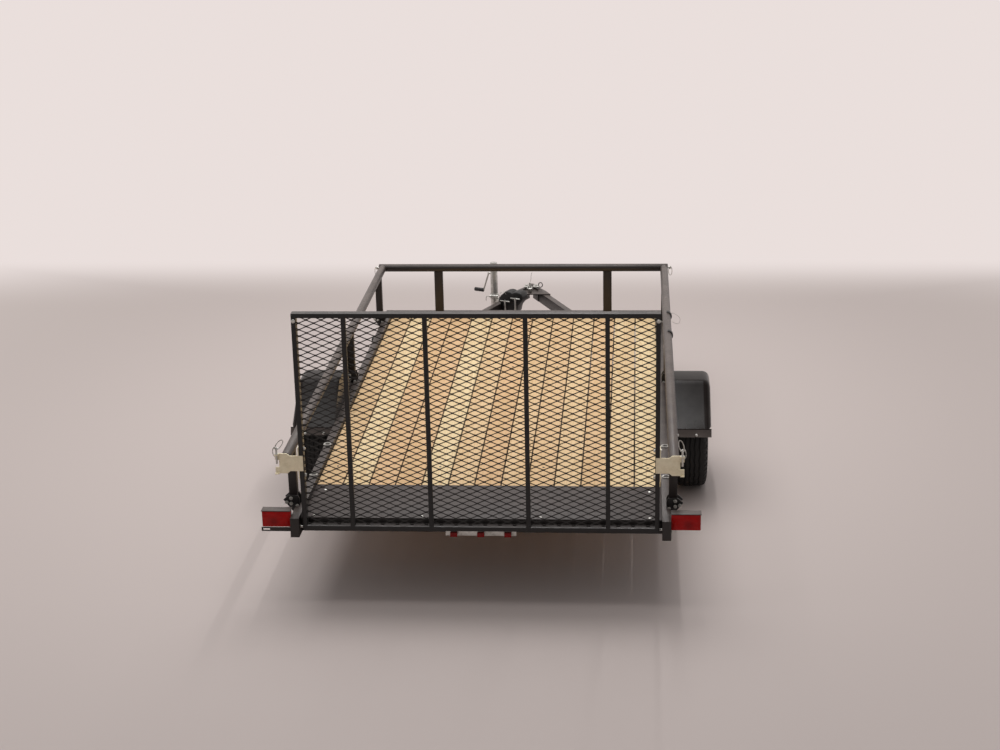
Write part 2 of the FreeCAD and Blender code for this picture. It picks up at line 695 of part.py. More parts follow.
# Drop axle: a beam under the springs, a spindle arm at each end, and the stub that carries the hub
beam = rod("AxleBeam", "axle_radius", "2 * spindle_side", ("-spindle_side", "axle_y", "beam_z"), SIDEWAYS)
axle = [beam]
for side, sign in SIDES:
    arm_start = "spindle_side" if sign > 0 else "-spindle_side - spindle_thickness"
    axle.append(box("SpindleArm" + side,
                    ("spindle_thickness", "2 * axle_radius", "abs(tyre_radius - beam_z) + 2 * axle_radius"),
                    (arm_start, "axle_y - axle_radius", "min(beam_z; tyre_radius) - axle_radius")))
    stub_start = "spindle_side" if sign > 0 else "-track_half - hub_length / 2"
    axle.append(rod("AxleStub" + side, "stub_radius", "track_half + hub_length / 2 - spindle_side",
                    (stub_start, "axle_y", "tyre_radius"), SIDEWAYS))
    axle.append(box("AxleSeat" + side, ("spring_width", "2 * axle_radius", "axle_seat + axle_radius"),
                    ("%d * rail_centre - spring_width / 2" % sign, "axle_y - axle_radius", "beam_z")))
keep(fuse("Axle", axle), "axle")

# Leaf springs: arcs about one centre, each leaf shorter than the one above it, the longest with
# an eye at each end. U-shaped hangers under the frame rails hold the eyes with a bolt.
for side, sign in SIDES:
    leaves = []
    for number in range(int(SIZES["leaf_count"])):
        share = 1.0 - 0.2 * number
        inner = "spring_curve + %d * leaf_thickness" % number
        points = (("-spring_width / 2", inner), ("spring_width / 2", inner),
                  ("spring_width / 2", inner + " + leaf_thickness"),
                  ("-spring_width / 2", inner + " + leaf_thickness"))
        leaf = turned("Leaf%s%d" % (side, number + 1), points,
                      ("%d * rail_centre" % sign, "axle_y", "curve_z"),
                      "2 * asin(%s * spring_half / spring_curve)" % share, middle=True)
        leaf.Placement = Placement(leaf.Placement.Base, BACK)
        leaves.append(leaf)
    eyes = []
    bolts = []
    hangers = []
    for end, turn in (("Rear", -1), ("Front", 1)):
        middle = "axle_y + %d * spring_half" % turn
        first = "%d * rail_centre - spring_width / 2" % sign
        eyes.append(rod("Eye%s%s" % (end, side), "spring_eye", "spring_width",
                        (first, middle, "eye_z"), SIDEWAYS))
        bolts.append(rod("EyeBore%s%s" % (end, side), "hanger_bolt + stub_clearance", "2 * rail_width",
                         ("%d * rail_centre - rail_width" % sign, middle, "eye_z"), SIDEWAYS))
        cheek = (("-hanger_half", "hanger_drop"), ("hanger_half", "hanger_drop"),
                 ("spring_eye", "-spring_eye"), ("-spring_eye", "-spring_eye"))
        pieces = [box("HangerTop%s%s" % (end, side),
                      ("spring_width + 2 * (hanger_clearance + hanger_wall)",
                       "2 * hanger_half", "hanger_wall"),
                      (first + " - hanger_clearance - hanger_wall", middle + " - hanger_half",
                       "rail_bottom - hanger_wall")),
                  rod("HangerBolt%s%s" % (end, side), "hanger_bolt",
                      "spring_width + 2 * (hanger_clearance + hanger_wall)",
                      (first + " - hanger_clearance - hanger_wall", middle, "eye_z"), SIDEWAYS)]
        for head_name, head_start in (("A", " - 2 * (hanger_clearance + hanger_wall)"),
                                      ("B", " + spring_width + hanger_clearance + hanger_wall")):
            pieces.append(bolt_head("HangerHead%s%s%s" % (head_name, end, side), "hanger_head",
                                    "hanger_clearance + hanger_wall", (first + head_start, middle, "eye_z")))
        for cheek_name, cheek_start in (("A", " - hanger_clearance - hanger_wall"),
                                        ("B", " + spring_width + hanger_clearance")):
            pieces.append(pad("HangerCheek%s%s%s" % (cheek_name, end, side), "YZ_Plane", cheek, "hanger_wall",
                              (first + cheek_start, middle, "eye_z")))
        hangers.append(fuse("Hanger%s%s" % (end, side), pieces))
    keep(cut("Spring" + side, fuse("Leaves" + side, leaves + eyes), fuse("EyeBores" + side, bolts)),
         "leaf_spring_" + side)
    keep(group("Hangers" + side, hangers), "spring_hangers_" + side)

# Wheels: tyre, rim with a windowed disc, and hub with its dust cap. Points are (outward, radius).
HALF_TYRE = (("tread_width / 2", "tyre_radius"), ("tyre_width / 2", "bead_radius + tyre_belly"),
             ("rim_width / 2 - rim_wall - bead_clearance", "bead_radius + rim_lip + rim_wall"),
             ("rim_width / 2 - rim_wall - bead_clearance", "bead_radius"))
TYRE = list(HALF_TYRE) + [("-(%s)" % along, radius) for along, radius in reversed(HALF_TYRE)]
RIM = (("-rim_width / 2", "rim_radius - rim_wall"), ("rim_width / 2", "rim_radius - rim_wall"),
       ("rim_width / 2", "rim_radius + rim_lip"), ("rim_width / 2 - rim_wall", "rim_radius + rim_lip"),
       ("rim_width / 2 - rim_wall", "rim_radius"), ("-rim_width / 2 + rim_wall", "rim_radius"),
       ("-rim_width / 2 + rim_wall", "rim_radius + rim_lip"), ("-rim_width / 2", "rim_radius + rim_lip"))
DISC = (("0", "hub_radius * 0.4"), ("rim_wall", "hub_radius * 0.4"), ("rim_wall", "rim_radius * 0.45"),
        ("disc_rise + rim_wall", "rim_radius * 0.45"), ("disc_rise + rim_wall", "rim_radius - rim_wall / 2"),
        ("disc_rise", "rim_radius - rim_wall / 2"), ("disc_rise", "rim_radius * 0.45 + rim_wall"),
        ("0", "rim_radius * 0.45 + rim_wall"))
BORE = "stub_radius + stub_clearance"
HUB = (("-hub_length * 0.6", BORE), ("-hub_length * 0.6", "hub_radius * 0.62"),
       ("-rim_wall * 3", "hub_radius * 0.62"), ("-rim_wall * 3", "hub_radius"), ("0", "hub_radius"),
       ("0", "hub_radius * 0.4"), ("hub_length * 0.55 + cap_length", "hub_radius * 0.4"),
       ("hub_length * 0.55 + cap_length", "0"),
       ("hub_length * 0.55", "0"), ("hub_length * 0.55", BORE))
WINDOW = (("-window_width / 2", "window_height / 2"), ("-window_width * 0.32", "-window_height / 2"),
          ("window_width * 0.32", "-window_height / 2"), ("window_width / 2", "window_height / 2"))
for side, sign in SIDES:
    place = ("%d * track_half" % sign, "axle_y", "tyre_radius")
    keep(turned("Tyre" + side, TYRE, place), "tyre_" + side)
    disc = [("%d * (%s)" % (sign, along), radius) for along, radius in DISC]
    wheel = fuse("Wheel" + side, [turned("RimBand" + side, RIM, place),
                                  turned("RimDisc" + side, disc, place)])
    windows = []
    for number in range(int(SIZES["window_count"])):
        raised = [(across, "%s + rim_radius * 0.78" % along) for across, along in WINDOW]
        window = pad("Window%s%d" % (side, number + 1), "YZ_Plane", raised, "rim_width / 2", place,
                     middle=True)
        turn = Rotation(Vector(1, 0, 0), 360.0 / SIZES["window_count"] * number)
        window.Placement = Placement(window.Placement.Base, turn)
        windows.append(window)
    keep(cut("WheelCut" + side, wheel, fuse("Windows" + side, windows)), "rim_" + side)
    hub = [("%d * (%s)" % (sign, along), radius) for along, radius in HUB]
    keep(turned("Hub" + side, hub, place), "hub_" + side)

# Fenders: a bent sheet with a flat top, a sloping face before and behind it and a rounded outer
# shoulder, with an inner wall against the frame rail, a skirt outside and a flange at each end


def arch(name, sign, across, inset, low="0"):
    """The fender's outline at one place across, drawn in by a depth, with its foot let down."""
    foot = "(fender_half - (%s) / sin(fender_lean))" % inset
    knee = "(fender_flat / 2 - (%s) * tan(fender_lean / 2))" % inset
    points = (("-" + foot, "0"), ("-" + foot, "-(%s) - 1" % low), (foot, "-(%s) - 1" % low), (foot, "0"),
              (knee, "fender_top - flange_top - (%s)" % inset),
              ("-" + knee, "fender_top - flange_top - (%s)" % inset))
    sketch = doc.addObject("Sketcher::SketchObject", name)
    sketch.Placement = Placement(Vector(), Rotation(Vector(1, 1, 1), 120))
    outline(sketch, points)
    move(sketch, ("%d * (fender_inner + %s)" % (sign, across), "axle_y", "flange_top"))
    return sketch


def loft(name, sections):
    obj = doc.addObject("Part::Loft", name)
    obj.Sections = sections
    obj.Solid = True
    obj.Ruled = True
    return obj


for side, sign in SIDES:
    span = "(fender_outer - fender_inner)"
    outer = []
    inner = []
    # the outline's place across, how far it is drawn in, and the wall left beside the room inside it
    sections = (("0", "0", "+ fender_wall"), (span + " - fender_shoulder", "0", "- fender_wall * 0.4"),
                (span + " - fender_shoulder * 0.3", "fender_shoulder * 0.3", "- fender_wall * 0.7"),
                (span, "fender_shoulder", "- fender_wall"))
    for number, (across, inset, wall) in enumerate(sections):
        outer.append(arch("FenderOut%s%d" % (side, number), sign, across, inset))
        inner.append(arch("FenderIn%s%d" % (side, number), sign, "%s %s" % (across, wall),
                          inset + " + fender_wall", "fender_wall"))
    opening = [arch("SkirtIn" + side, sign, span + " - fender_shoulder", "fender_skirt", "fender_wall"),
               arch("SkirtOut" + side, sign, span + " + fender_wall", "fender_skirt", "fender_wall")]
    cuts = fuse("FenderCuts" + side, [loft("FenderRoom" + side, inner), loft("SkirtOpening" + side, opening)])
    pieces = [cut("FenderShell" + side, loft("FenderBlock" + side, outer), cuts)]
    for name, turn in (("Rear", -1), ("Front", 1)):
        points = (("0", "0"), ("%d * flange_length * 0.4" % turn, "-flange_length * 0.9"),
                  ("%d * (flange_length * 0.4 - fender_wall)" % turn, "-flange_length * 0.9"),
                  ("%d * (-fender_wall)" % turn, "0"), ("%d * (-fender_wall)" % turn, "fender_wall"),
                  ("0", "fender_wall"))
        pieces.append(pad("FenderFlange%s%s" % (name, side), "YZ_Plane", points, span,
                          ("fender_inner" if sign > 0 else "-fender_outer",
                           "axle_y + %d * fender_half" % turn, "flange_top - 1")))
    keep(fuse("Fender" + side, pieces), "fender_" + side)

# Jack on the left arm. Its pieces are placed by their distance from the arm's outer face.
JACK_TURN = Rotation(Vector(0, 0, 1), Vector(-math.cos(math.radians(value("tongue_angle"))),
                                             math.sin(math.radians(value("tongue_angle"))), 0))
JACK_SQUARE = Rotation(Vector(0, 0, 1), 90 - value("tongue_angle"))


def off_arm(distance, height):
    """A place beside the jack at some distance from the arm's outer face."""
    back = "(jack_stand_off + jack_radius - (%s))" % distance
    return ("-jack_side + cos(tongue_angle * 1 deg) * %s" % back,
            "jack_y - sin(tongue_angle * 1 deg) * %s" % back, height)


def arm_plate(name, start, thick, half, low, high):
    """A plate square to the arm, from its distance, thickness and edges."""
    points = [("%s(%s)" % (side, half), "%s - pivot_z" % edge)
              for side, edge in (("-", low), ("", low), ("", high), ("-", high))]
    body = pad(name, "XZ_Plane", points, thick, off_arm(start, "pivot_z"), back=True)
    body.Placement = Placement(body.Placement.Base, JACK_SQUARE)
    return body


plate = arm_plate("MountPlate", "0", "jack_plate", "jack_plate_size / 2", "arm_bottom - 12", "arm_top + 12")
pivot = rod("MountPivot", "jack_pivot_radius", "2 * jack_plate + jack_gap + jack_pivot_end",
            off_arm("0", "pivot_z"), JACK_TURN)
keep(fuse("JackMount", [plate, pivot]), "jack_mount")

disc = rod("SwivelDisc", "jack_disc_radius", "jack_plate",
           off_arm("jack_plate + jack_gap", "pivot_z"), JACK_TURN)
saddle = arm_plate("SwivelSaddle", "2 * jack_plate + jack_gap", "jack_stand_off - 2 * jack_plate",
                   "jack_radius * 0.8",
                   "pivot_z - jack_disc_radius * 0.8", "pivot_z + jack_disc_radius * 0.8")
room = rod("SwivelRoom", "jack_radius", "jack_top", off_arm("jack_stand_off + jack_radius", "0"))
hole = rod("SwivelBore", "jack_pivot_radius + hinge_clearance", "jack_stand_off + jack_radius",
           off_arm("0", "pivot_z"), JACK_TURN)
keep(cut("JackSwivel", fuse("SwivelPieces", [disc, saddle]), fuse("SwivelCuts", [room, hole])),
     "jack_swivel_plate")

outer = rod("JackTubeOuter", "jack_radius", "jack_top - jack_low",
            off_arm("jack_stand_off + jack_radius", "jack_low"))
inner = rod("JackTubeInner", "jack_leg_radius + jack_clearance", "jack_top - jack_low - jack_cap",
            off_arm("jack_stand_off + jack_radius", "jack_low"))
keep(cut("JackTube", outer, inner), "jack_tube")
leg = rod("JackLeg", "jack_leg_radius", "jack_leg_top - jack_foot_thickness",
          off_arm("jack_stand_off + jack_radius", "jack_foot_thickness"))
foot = rod("JackFoot", "jack_foot", "jack_foot_thickness", off_arm("jack_stand_off + jack_radius", "0"))
keep(fuse("JackLegFoot", [leg, foot]), "jack_leg")

shaft = rod("CrankShaft", "crank_radius", "crank_reach + crank_radius",
            off_arm("jack_stand_off + 2 * jack_radius", "crank_z"), JACK_TURN)
crank_turn = math.degrees(math.atan2(value("crank_lean"), value("crank_length")))
out = JACK_TURN.multVec(Vector(0, 0, 1))
arm = rod("CrankArm", "crank_radius", "sqrt(crank_length^2 + crank_lean^2)",
          off_arm("jack_stand_off + 2 * jack_radius + crank_reach", "crank_z"),
          Rotation(Vector(0, 0, 1).cross(out), 180 - crank_turn))
grip = rod("CrankGrip", "grip_radius", "grip_length",
           off_arm("jack_stand_off + 2 * jack_radius + crank_reach + crank_lean", "crank_z - crank_length"),
           JACK_TURN)
knee = rod("CrankKnee", "crank_radius", "2 * crank_radius",
           off_arm("jack_stand_off + 2 * jack_radius + crank_reach + crank_lean - crank_radius",
                   "crank_z - crank_length"), JACK_TURN)
keep(fuse("JackCrank", [shaft, arm, grip, knee]), "jack_crank")

# Black clamp body against the left arm, with two screws that have a bar across their tops


def by_clamp(across, along, height):
    """A place counted across and along the left arm from the middle of the clamp body."""
    turn = "tongue_angle * 1 deg"
    side = "-clamp_side + cos(%s) * (%s) + sin(%s) * (%s)" % (turn, across, turn, along)
    ahead = "clamp_y - sin(%s) * (%s) + cos(%s) * (%s)" % (turn, across, turn, along)
    return (side, ahead, height)


ARM_TURN = Rotation(Vector(0, 0, 1), -value("tongue_angle"))
CLAMP = (("-clamp_width / 2", "0"), ("clamp_width / 2", "0"),
         ("clamp_width / 2", "clamp_height - clamp_round"),
         ("clamp_width / 2 - 0.3 * clamp_round", "clamp_height - 0.3 * clamp_round"),
         ("clamp_width / 2 - clamp_round", "clamp_height"),
         ("-clamp_width / 2 + clamp_round", "clamp_height"),
         ("-clamp_width / 2 + 0.3 * clamp_round", "clamp_height - 0.3 * clamp_round"),
         ("-clamp_width / 2", "clamp_height - clamp_round"))
body = pad("ClampBody", "XZ_Plane", CLAMP, "clamp_depth",
           by_clamp("0", "clamp_depth / 2", "arm_top + clamp_rise - clamp_height"))
body.Placement = Placement(body.Placement.Base, ARM_TURN)
keep(body, "clamp_body")
screws = []
for name, across, rise in (("A", "-clamp_width * 0.25", "screw_rise"),
                           ("B", "clamp_width * 0.3", "screw_rise + screw_step")):
    stem = rod("ScrewStem" + name, "screw_radius", "screw_length",
               by_clamp(across, "-clamp_depth / 2 - screw_radius", "arm_top + %s - screw_length" % rise))
    bar = rod("ScrewBar" + name, "screw_radius * 0.6", "screw_bar",
              by_clamp(across + " - screw_bar / 2", "-clamp_depth / 2 - screw_radius",
                       "arm_top + %s - screw_radius" % rise), ARM_TURN.multiply(SIDEWAYS))
    screws.append(fuse("ClampScrew" + name, [stem, bar]))
keep(group("ClampScrews", screws), "clamp_screws")

# Lights: two tail lamps in sheet guards outside the rails, a bar of three lamps between them
for side, sign in SIDES:
    start = "bed_half_width + rail_width" if sign > 0 else "-bed_half_width - rail_width - lamp_width"
    keep(box("Lamp" + side, ("lamp_width", "lamp_depth - lamp_guard", "lamp_height - lamp_guard"),
             (start, "lamp_set_in", "rail_top - lamp_height + lamp_rise")), "tail_lamp_" + side)
    keep(box("LampGuard" + side, ("lamp_width + 4", "lamp_depth", "lamp_guard"),
             (start if sign > 0 else start + " - 4", "lamp_set_in", "rail_top + lamp_rise - lamp_guard")),
         "lamp_guard_" + side)
lenses = []
for number, place in enumerate(("-bar_light_width / 2", "-bar_lens_width / 2",
                                "bar_light_width / 2 - bar_lens_width")):
    lenses.append(box("BarLens%d" % (number + 1), ("bar_lens_width", "bar_light_depth", "bar_light_height"),
                      (place, "plate_start - tube_wall - bar_light_depth", "rail_bottom - bar_light_drop")))
keep(group("BarLight", lenses), "bar_light")
slot = box("BracketSlot", ("slot_length", "4 * lamp_guard", "slot_height"),
           ("-rail_centre - rail_width / 2 - bracket_reach + slot_height", "lamp_set_in - lamp_guard",
            "rail_top + lamp_rise - lamp_height - bracket_drop - bracket_height / 2 - slot_height / 2"))
bracket = box("BracketBar", ("bracket_reach", "lamp_guard", "bracket_height"),
              ("-rail_centre - rail_width / 2 - bracket_reach", "lamp_set_in",
               "rail_top + lamp_rise - lamp_height - bracket_drop - bracket_height"))
keep(cut("PlateBracket", bracket, slot), "plate_bracket")
keep(box("BarCarrier", ("bar_light_width + 2 * bar_light_height", "tube_wall", "1.5 * bar_light_height"),
         ("-bar_light_width / 2 - bar_light_height", "plate_start - tube_wall",
          "rail_bottom - bar_light_drop")), "bar_light_plate")
markers = []
for side, sign in SIDES:
    start = "bed_half_width + rail_width" if sign > 0 else "-bed_half_width - rail_width - marker_depth"
    markers.append(box("Marker" + side, ("marker_depth", "marker_length", "marker_height"),
                       (start, "marker_y - marker_length / 2", "rail_top - marker_height - 20")))
keep(group("Markers", markers), "marker_lamps")

doc.recompute()

# Every piece must be sound before any file is written
for obj in doc.Objects:
    if "Invalid" in obj.State or "Error" in obj.State:
        raise RuntimeError("%s did not build: %s" % (obj.Name, obj.State))
for node in NODES:
    if node.Shape.isNull() or not node.Shape.isValid() or not node.Shape.Solids:
        raise RuntimeError("%s has no sound shape" % node.Label)
os.makedirs("parts", exist_ok=True)
for node in NODES:
    node.Shape.exportStep("parts/%s.step" % node.Label)
    print(node.Label, len(node.Shape.Solids), round(node.Shape.Volume / 1000.0, 1))
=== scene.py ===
"""The utility trailer's looks: its finishes and small hardware, and the floor and light around it.

Everything is in metres in the trailer's own frame: +X to its right side, +Y the way it is towed,
+Z up, with the floor at zero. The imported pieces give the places, and what is added sits on them.
"""

import logging
import math
import random
from dataclasses import dataclass, field
from enum import Enum
from typing import Callable, Sequence

import bmesh
import bpy
from mathutils import Matrix, Vector


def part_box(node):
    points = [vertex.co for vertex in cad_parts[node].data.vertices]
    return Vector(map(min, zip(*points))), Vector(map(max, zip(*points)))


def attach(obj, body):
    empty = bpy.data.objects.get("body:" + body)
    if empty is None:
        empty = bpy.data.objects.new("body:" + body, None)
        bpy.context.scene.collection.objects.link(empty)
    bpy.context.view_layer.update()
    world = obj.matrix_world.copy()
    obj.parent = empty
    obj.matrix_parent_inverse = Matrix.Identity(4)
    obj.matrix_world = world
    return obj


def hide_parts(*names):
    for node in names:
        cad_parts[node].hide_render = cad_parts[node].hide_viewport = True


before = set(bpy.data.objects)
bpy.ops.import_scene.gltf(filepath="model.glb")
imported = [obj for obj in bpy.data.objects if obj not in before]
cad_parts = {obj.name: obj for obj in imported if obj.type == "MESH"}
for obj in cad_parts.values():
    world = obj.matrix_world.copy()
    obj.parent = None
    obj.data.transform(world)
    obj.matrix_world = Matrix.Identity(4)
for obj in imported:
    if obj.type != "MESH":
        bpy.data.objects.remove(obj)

LOG = logging.getLogger("utility_trailer")
Piece = bpy.types.Object
Socket = bpy.types.NodeSocket
Colour = tuple[float, float, float]
Outline = tuple[tuple[float, float], ...]
Route = tuple[tuple[float, float, float], ...]

UP = (0.0, 0.0, 1.0)
DOWN = (0.0, 0.0, -1.0)
BACKWARDS = (0.0, -1.0, 0.0)
ORIGIN = (0.0, 0.0, 0.0)
MERGE = 0.00002
FLAT = math.radians(0.6)
SQUARE_ON = 0.9
ROUND_STEPS = 14
SMALL_EDGE = 0.0008
SHEET_EDGE = 0.001


class Side(Enum):
    """The two sides of the trailer, seen from behind."""

    LEFT = -1
    RIGHT = 1

    @property
    def word(self) -> str:
        """The side's name in lower case."""
        return self.name.lower()


class Head(Enum):
    """The kinds of bolt head."""

    DOME = "dome"
    HEX = "hex"


# Small steps of mesh work


def only(piece: Piece) -> None:
    """Select one piece and nothing else.

    Args:
        piece: The piece that the next operator acts on.
    """
    bpy.ops.object.select_all(action="DESELECT")
    piece.select_set(True)
    bpy.context.view_layer.objects.active = piece


def edit(piece: Piece) -> None:
    """Open one piece in edit mode with all of it selected.

    Args:
        piece: The piece to open.
    """
    only(piece)
    bpy.ops.object.mode_set(mode="EDIT")
    bpy.ops.mesh.select_all(action="SELECT")


def leave() -> None:
    """Go back to object mode."""
    bpy.ops.object.mode_set(mode="OBJECT")


def pick_faces(piece: Piece, test: Callable[[Vector, Vector], bool]) -> None:
    """Select in edit mode just the faces that pass a test.

    Args:
        piece: The piece, already in edit mode.
        test: Says yes or no to a face's middle and its normal.
    """
    bpy.ops.mesh.select_mode(type="FACE")
    bpy.ops.mesh.select_all(action="DESELECT")
    shape = bmesh.from_edit_mesh(piece.data)
    for face in shape.faces:
        if test(face.calc_center_median(), face.normal):
            face.select_set(True)
    bmesh.update_edit_mesh(piece.data)


def pick_edges(piece: Piece, test: Callable[[Vector, Vector], bool]) -> None:
    """Select in edit mode just the edges whose two ends pass a test.

    Args:
        piece: The piece, already in edit mode.
        test: Says yes or no to an edge's two ends.
    """
    bpy.ops.mesh.select_mode(type="EDGE")
    bpy.ops.mesh.select_all(action="DESELECT")
    shape = bmesh.from_edit_mesh(piece.data)
    for edge in shape.edges:
        if test(edge.verts[0].co, edge.verts[1].co):
            edge.select_set(True)
    bmesh.update_edit_mesh(piece.data)


def facing(way: Sequence[float]) -> Callable[[Vector, Vector], bool]:
    """A test that picks the faces that look a given way."""
    return lambda middle, normal: normal.dot(Vector(way)) > SQUARE_ON


def settle(piece: Piece, name: str) -> Piece:
    """Put a new primitive's place, turn and size into its mesh.

    Args:
        piece: The primitive that was just added.
        name: The name it gets.

    Returns:
        The same piece, with its object at the origin.
    """
    piece.name = name
    only(piece)
    bpy.ops.object.transform_apply(location=True, rotation=True, scale=True)
    return piece


def block(name: str, low: Sequence[float], high: Sequence[float]) -> Piece:
    """A block between two corners, as the start of a piece.

    Args:
        name: The piece's name.
        low: Its low corner.
        high: Its high corner.

    Returns:
        The block.
    """
    low, high = Vector(low), Vector(high)
    bpy.ops.mesh.primitive_cube_add(size=1.0, location=(low + high) / 2, scale=high - low)
    return settle(bpy.context.object, name)


def stepped(piece: Piece, way: Sequence[float], *steps: tuple[float, float]) -> Piece:
    """Set in the flat face that looks a given way, one step after another.

    Args:
        piece: The piece to change.
        way: The way that the face looks.
        *steps: Each step's width and how far it stands out.

    Returns:
        The same piece.
    """
    edit(piece)
    pick_faces(piece, facing(way))
    for width, rise in steps:
        bpy.ops.mesh.inset(thickness=width, depth=rise)
    leave()
    return piece


def rod(name: str, start: Sequence[float], end: Sequence[float], radius: float) -> Piece:
    """A round bar whose last end is eased.

    Args:
        name: The piece's name.
        start: The middle of its first end.
        end: The middle of its last end.
        radius: Its radius.

    Returns:
        The bar.
    """
    start, along = Vector(start), Vector(end) - Vector(start)
    turn = along.to_track_quat("Z", "Y").to_euler()
    bpy.ops.mesh.primitive_circle_add(vertices=12, radius=radius, fill_type="NGON", location=start,
                                      rotation=turn)
    piece = settle(bpy.context.object, name)
    edit(piece)
    bpy.ops.mesh.extrude_region_move(TRANSFORM_OT_translate={"value": along})
    bpy.ops.mesh.inset(thickness=radius * 0.25, depth=radius * 0.2)
    bpy.ops.mesh.select_all(action="SELECT")
    bpy.ops.mesh.normals_make_consistent(inside=False)
    leave()
    return piece


def traced(name: str, points: Sequence[Sequence[float]]) -> Piece:
    """A closed line of edges through a row of points.

    Args:
        name: The piece's name.
        points: Its corners, in order.

    Returns:
        The line, as the start of a piece.
    """
    bpy.ops.mesh.primitive_circle_add(vertices=len(points), fill_type="NOTHING")
    piece = settle(bpy.context.object, name)
    for vertex, point in zip(piece.data.vertices, points):
        vertex.co = point
    return piece


def turned(name: str, outline: Sequence[tuple[float, float]], centre: Sequence[float],
           axis: Sequence[float], steps: int, angle: float = math.tau) -> Piece:
    """A piece turned about an axis from a closed outline.

    Args:
        name: The piece's name.
        outline: Its corners as (along the axis, away from the axis).
        centre: The point that the outline is counted from.
        axis: The direction that it turns about.
        steps: How many steps the turn has.
        angle: How far it is turned.

    Returns:
        The turned piece, with its faces outwards.
    """
    centre, axis = Vector(centre), Vector(axis).normalized()
    away = axis.orthogonal().normalized()
    piece = traced(name, [centre + axis * along + away * radius for along, radius in outline])
    edit(piece)
    if angle < math.tau:
        bpy.ops.mesh.edge_face_add()
    bpy.ops.mesh.spin(steps=steps, angle=angle, center=centre, axis=axis)
    bpy.ops.mesh.select_all(action="SELECT")
    bpy.ops.mesh.remove_doubles(threshold=MERGE)
    bpy.ops.mesh.normals_make_consistent(inside=False)
    leave()
    return piece


def wire(name: str, points: Sequence[Sequence[float]], radius: float, steps: int = 6) -> Piece:
    """A bent wire that follows a line of points.

    Args:
        name: The piece's name.
        points: Where it runs.
        radius: Its radius.
        steps: How many sides its section has.

    Returns:
        The wire, with closed ends.
    """
    points = [Vector(point) for point in points]
    first = (points[1] - points[0]).to_track_quat("Z", "Y")
    bpy.ops.mesh.primitive_circle_add(vertices=steps, radius=radius, fill_type="NGON", location=points[0],
                                      rotation=first.to_euler())
    piece = settle(bpy.context.object, name)
    edit(piece)
    for last, here in zip(points, points[1:]):
        bpy.ops.mesh.extrude_region_move(TRANSFORM_OT_translate={"value": here - last})
    leave()
    vertices = piece.data.vertices
    section = [vertex.co - points[0] for vertex in vertices[:steps]]
    for number, here in enumerate(points):
        ahead = points[min(number + 1, len(points) - 1)] - points[max(number - 1, 0)]
        turn = ahead.to_track_quat("Z", "Y") @ first.inverted()
        for corner, arm in enumerate(section):
            vertices[number * steps + corner].co = here + turn @ arm
    edit(piece)
    bpy.ops.mesh.normals_make_consistent(inside=False)
    leave()
    return piece


def oval(centre: Sequence[float], across: float, up: float, start: float = 0.0, share: float = 1.0,
         steps: int = 16) -> list[Vector]:
    """Points round an upright oval that faces backwards.

    Args:
        centre: Its middle.
        across: Half its width.
        up: Half its height.
        start: Where it starts, as a share of a turn from its right side.
        share: How much of the turn it has.
        steps: How many steps it has.

    Returns:
        The points, in order.
    """
    turns = [math.tau * (start + share * step / steps) for step in range(steps + 1)]
    return [Vector(centre) + Vector((across * math.cos(turn), 0, up * math.sin(turn))) for turn in turns]


def with_modifier(piece: Piece, kind: str, **settings: object) -> None:
    """Add a modifier and apply it at once.

    Args:
        piece: The piece to change.
        kind: The modifier's type.
        **settings: What it is set to.
    """
    only(piece)
    modifier = piece.modifiers.new(kind.title(), kind)
    for key, setting in settings.items():
        setattr(modifier, key, setting)
    bpy.ops.object.modifier_apply(modifier=modifier.name)


def eased(piece: Piece, width: float = 0.0, steps: int = 2, sharp: float = 40.0) -> Piece:
    """Round the sharp edges of a piece and shade it smooth between them.

    Args:
        piece: The piece to ease.
        width: How wide the rounded edge is, or 0 for none.
        steps: How many strips it has.
        sharp: The angle in degrees from which an edge counts as sharp.

    Returns:
        The same piece.
    """
    if width:
        with_modifier(piece, "BEVEL", width=width, segments=steps, limit_method="ANGLE",
                      angle_limit=math.radians(sharp))
    only(piece)
    bpy.ops.object.shade_smooth_by_angle(angle=math.radians(sharp))
    return piece


def joined(name: str, pieces: Sequence[Piece]) -> Piece:
    """Several pieces as one piece with several shells.

    Args:
        name: The name of the result.
        pieces: What is joined; the first one takes up the rest.

    Returns:
        The joined piece.
    """
    bpy.ops.object.select_all(action="DESELECT")
    for piece in pieces:
        piece.select_set(True)
    bpy.context.view_layer.objects.active = pieces[0]
    if len(pieces) > 1:
        bpy.ops.object.join()
    pieces[0].name = name
    return pieces[0]


def copied(name: str, pattern: Piece, places: Sequence[Matrix]) -> Piece:
    """A pattern set down at each place, as one piece; the pattern itself is used up.

    Args:
        name: The name of the result.
        pattern: What is repeated, modelled at the origin.
        places: Where each copy goes.

    Returns:
        The joined copies.
    """
    copies = []
    for place in places:
        copy = bpy.data.objects.new(name, pattern.data.copy())
        copy.data.transform(place)
        bpy.context.collection.objects.link(copy)
        copies.append(copy)
    bpy.data.objects.remove(pattern)
    return joined(name, copies)


def towards(place: Sequence[float], way: Sequence[float]) -> Matrix:
    """The place of a pattern whose own +Z is turned to point a given way."""
    return Matrix.Translation(Vector(place)) @ Vector(way).to_track_quat("Z", "Y").to_matrix().to_4x4()


def from_node(node: str, edge: float = 0.0, sharp: float = 40.0) -> Piece:
    """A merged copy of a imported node, with whole flat faces and eased edges.

    Args:
        node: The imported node's name.
        edge: How wide its eased edges are.
        sharp: The angle in degrees from which an edge counts as sharp.

    Returns:
        The copy.
    """
    piece = bpy.data.objects.new(node + "_dressed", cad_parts[node].data.copy())
    bpy.context.collection.objects.link(piece)
    piece.data.materials.clear()
    edit(piece)
    bpy.ops.mesh.remove_doubles(threshold=MERGE)
    bpy.ops.mesh.dissolve_limited(angle_limit=FLAT)
    leave()
    bpy.ops.mesh.customdata_custom_splitnormals_clear()
    return eased(piece, edge, sharp=sharp)


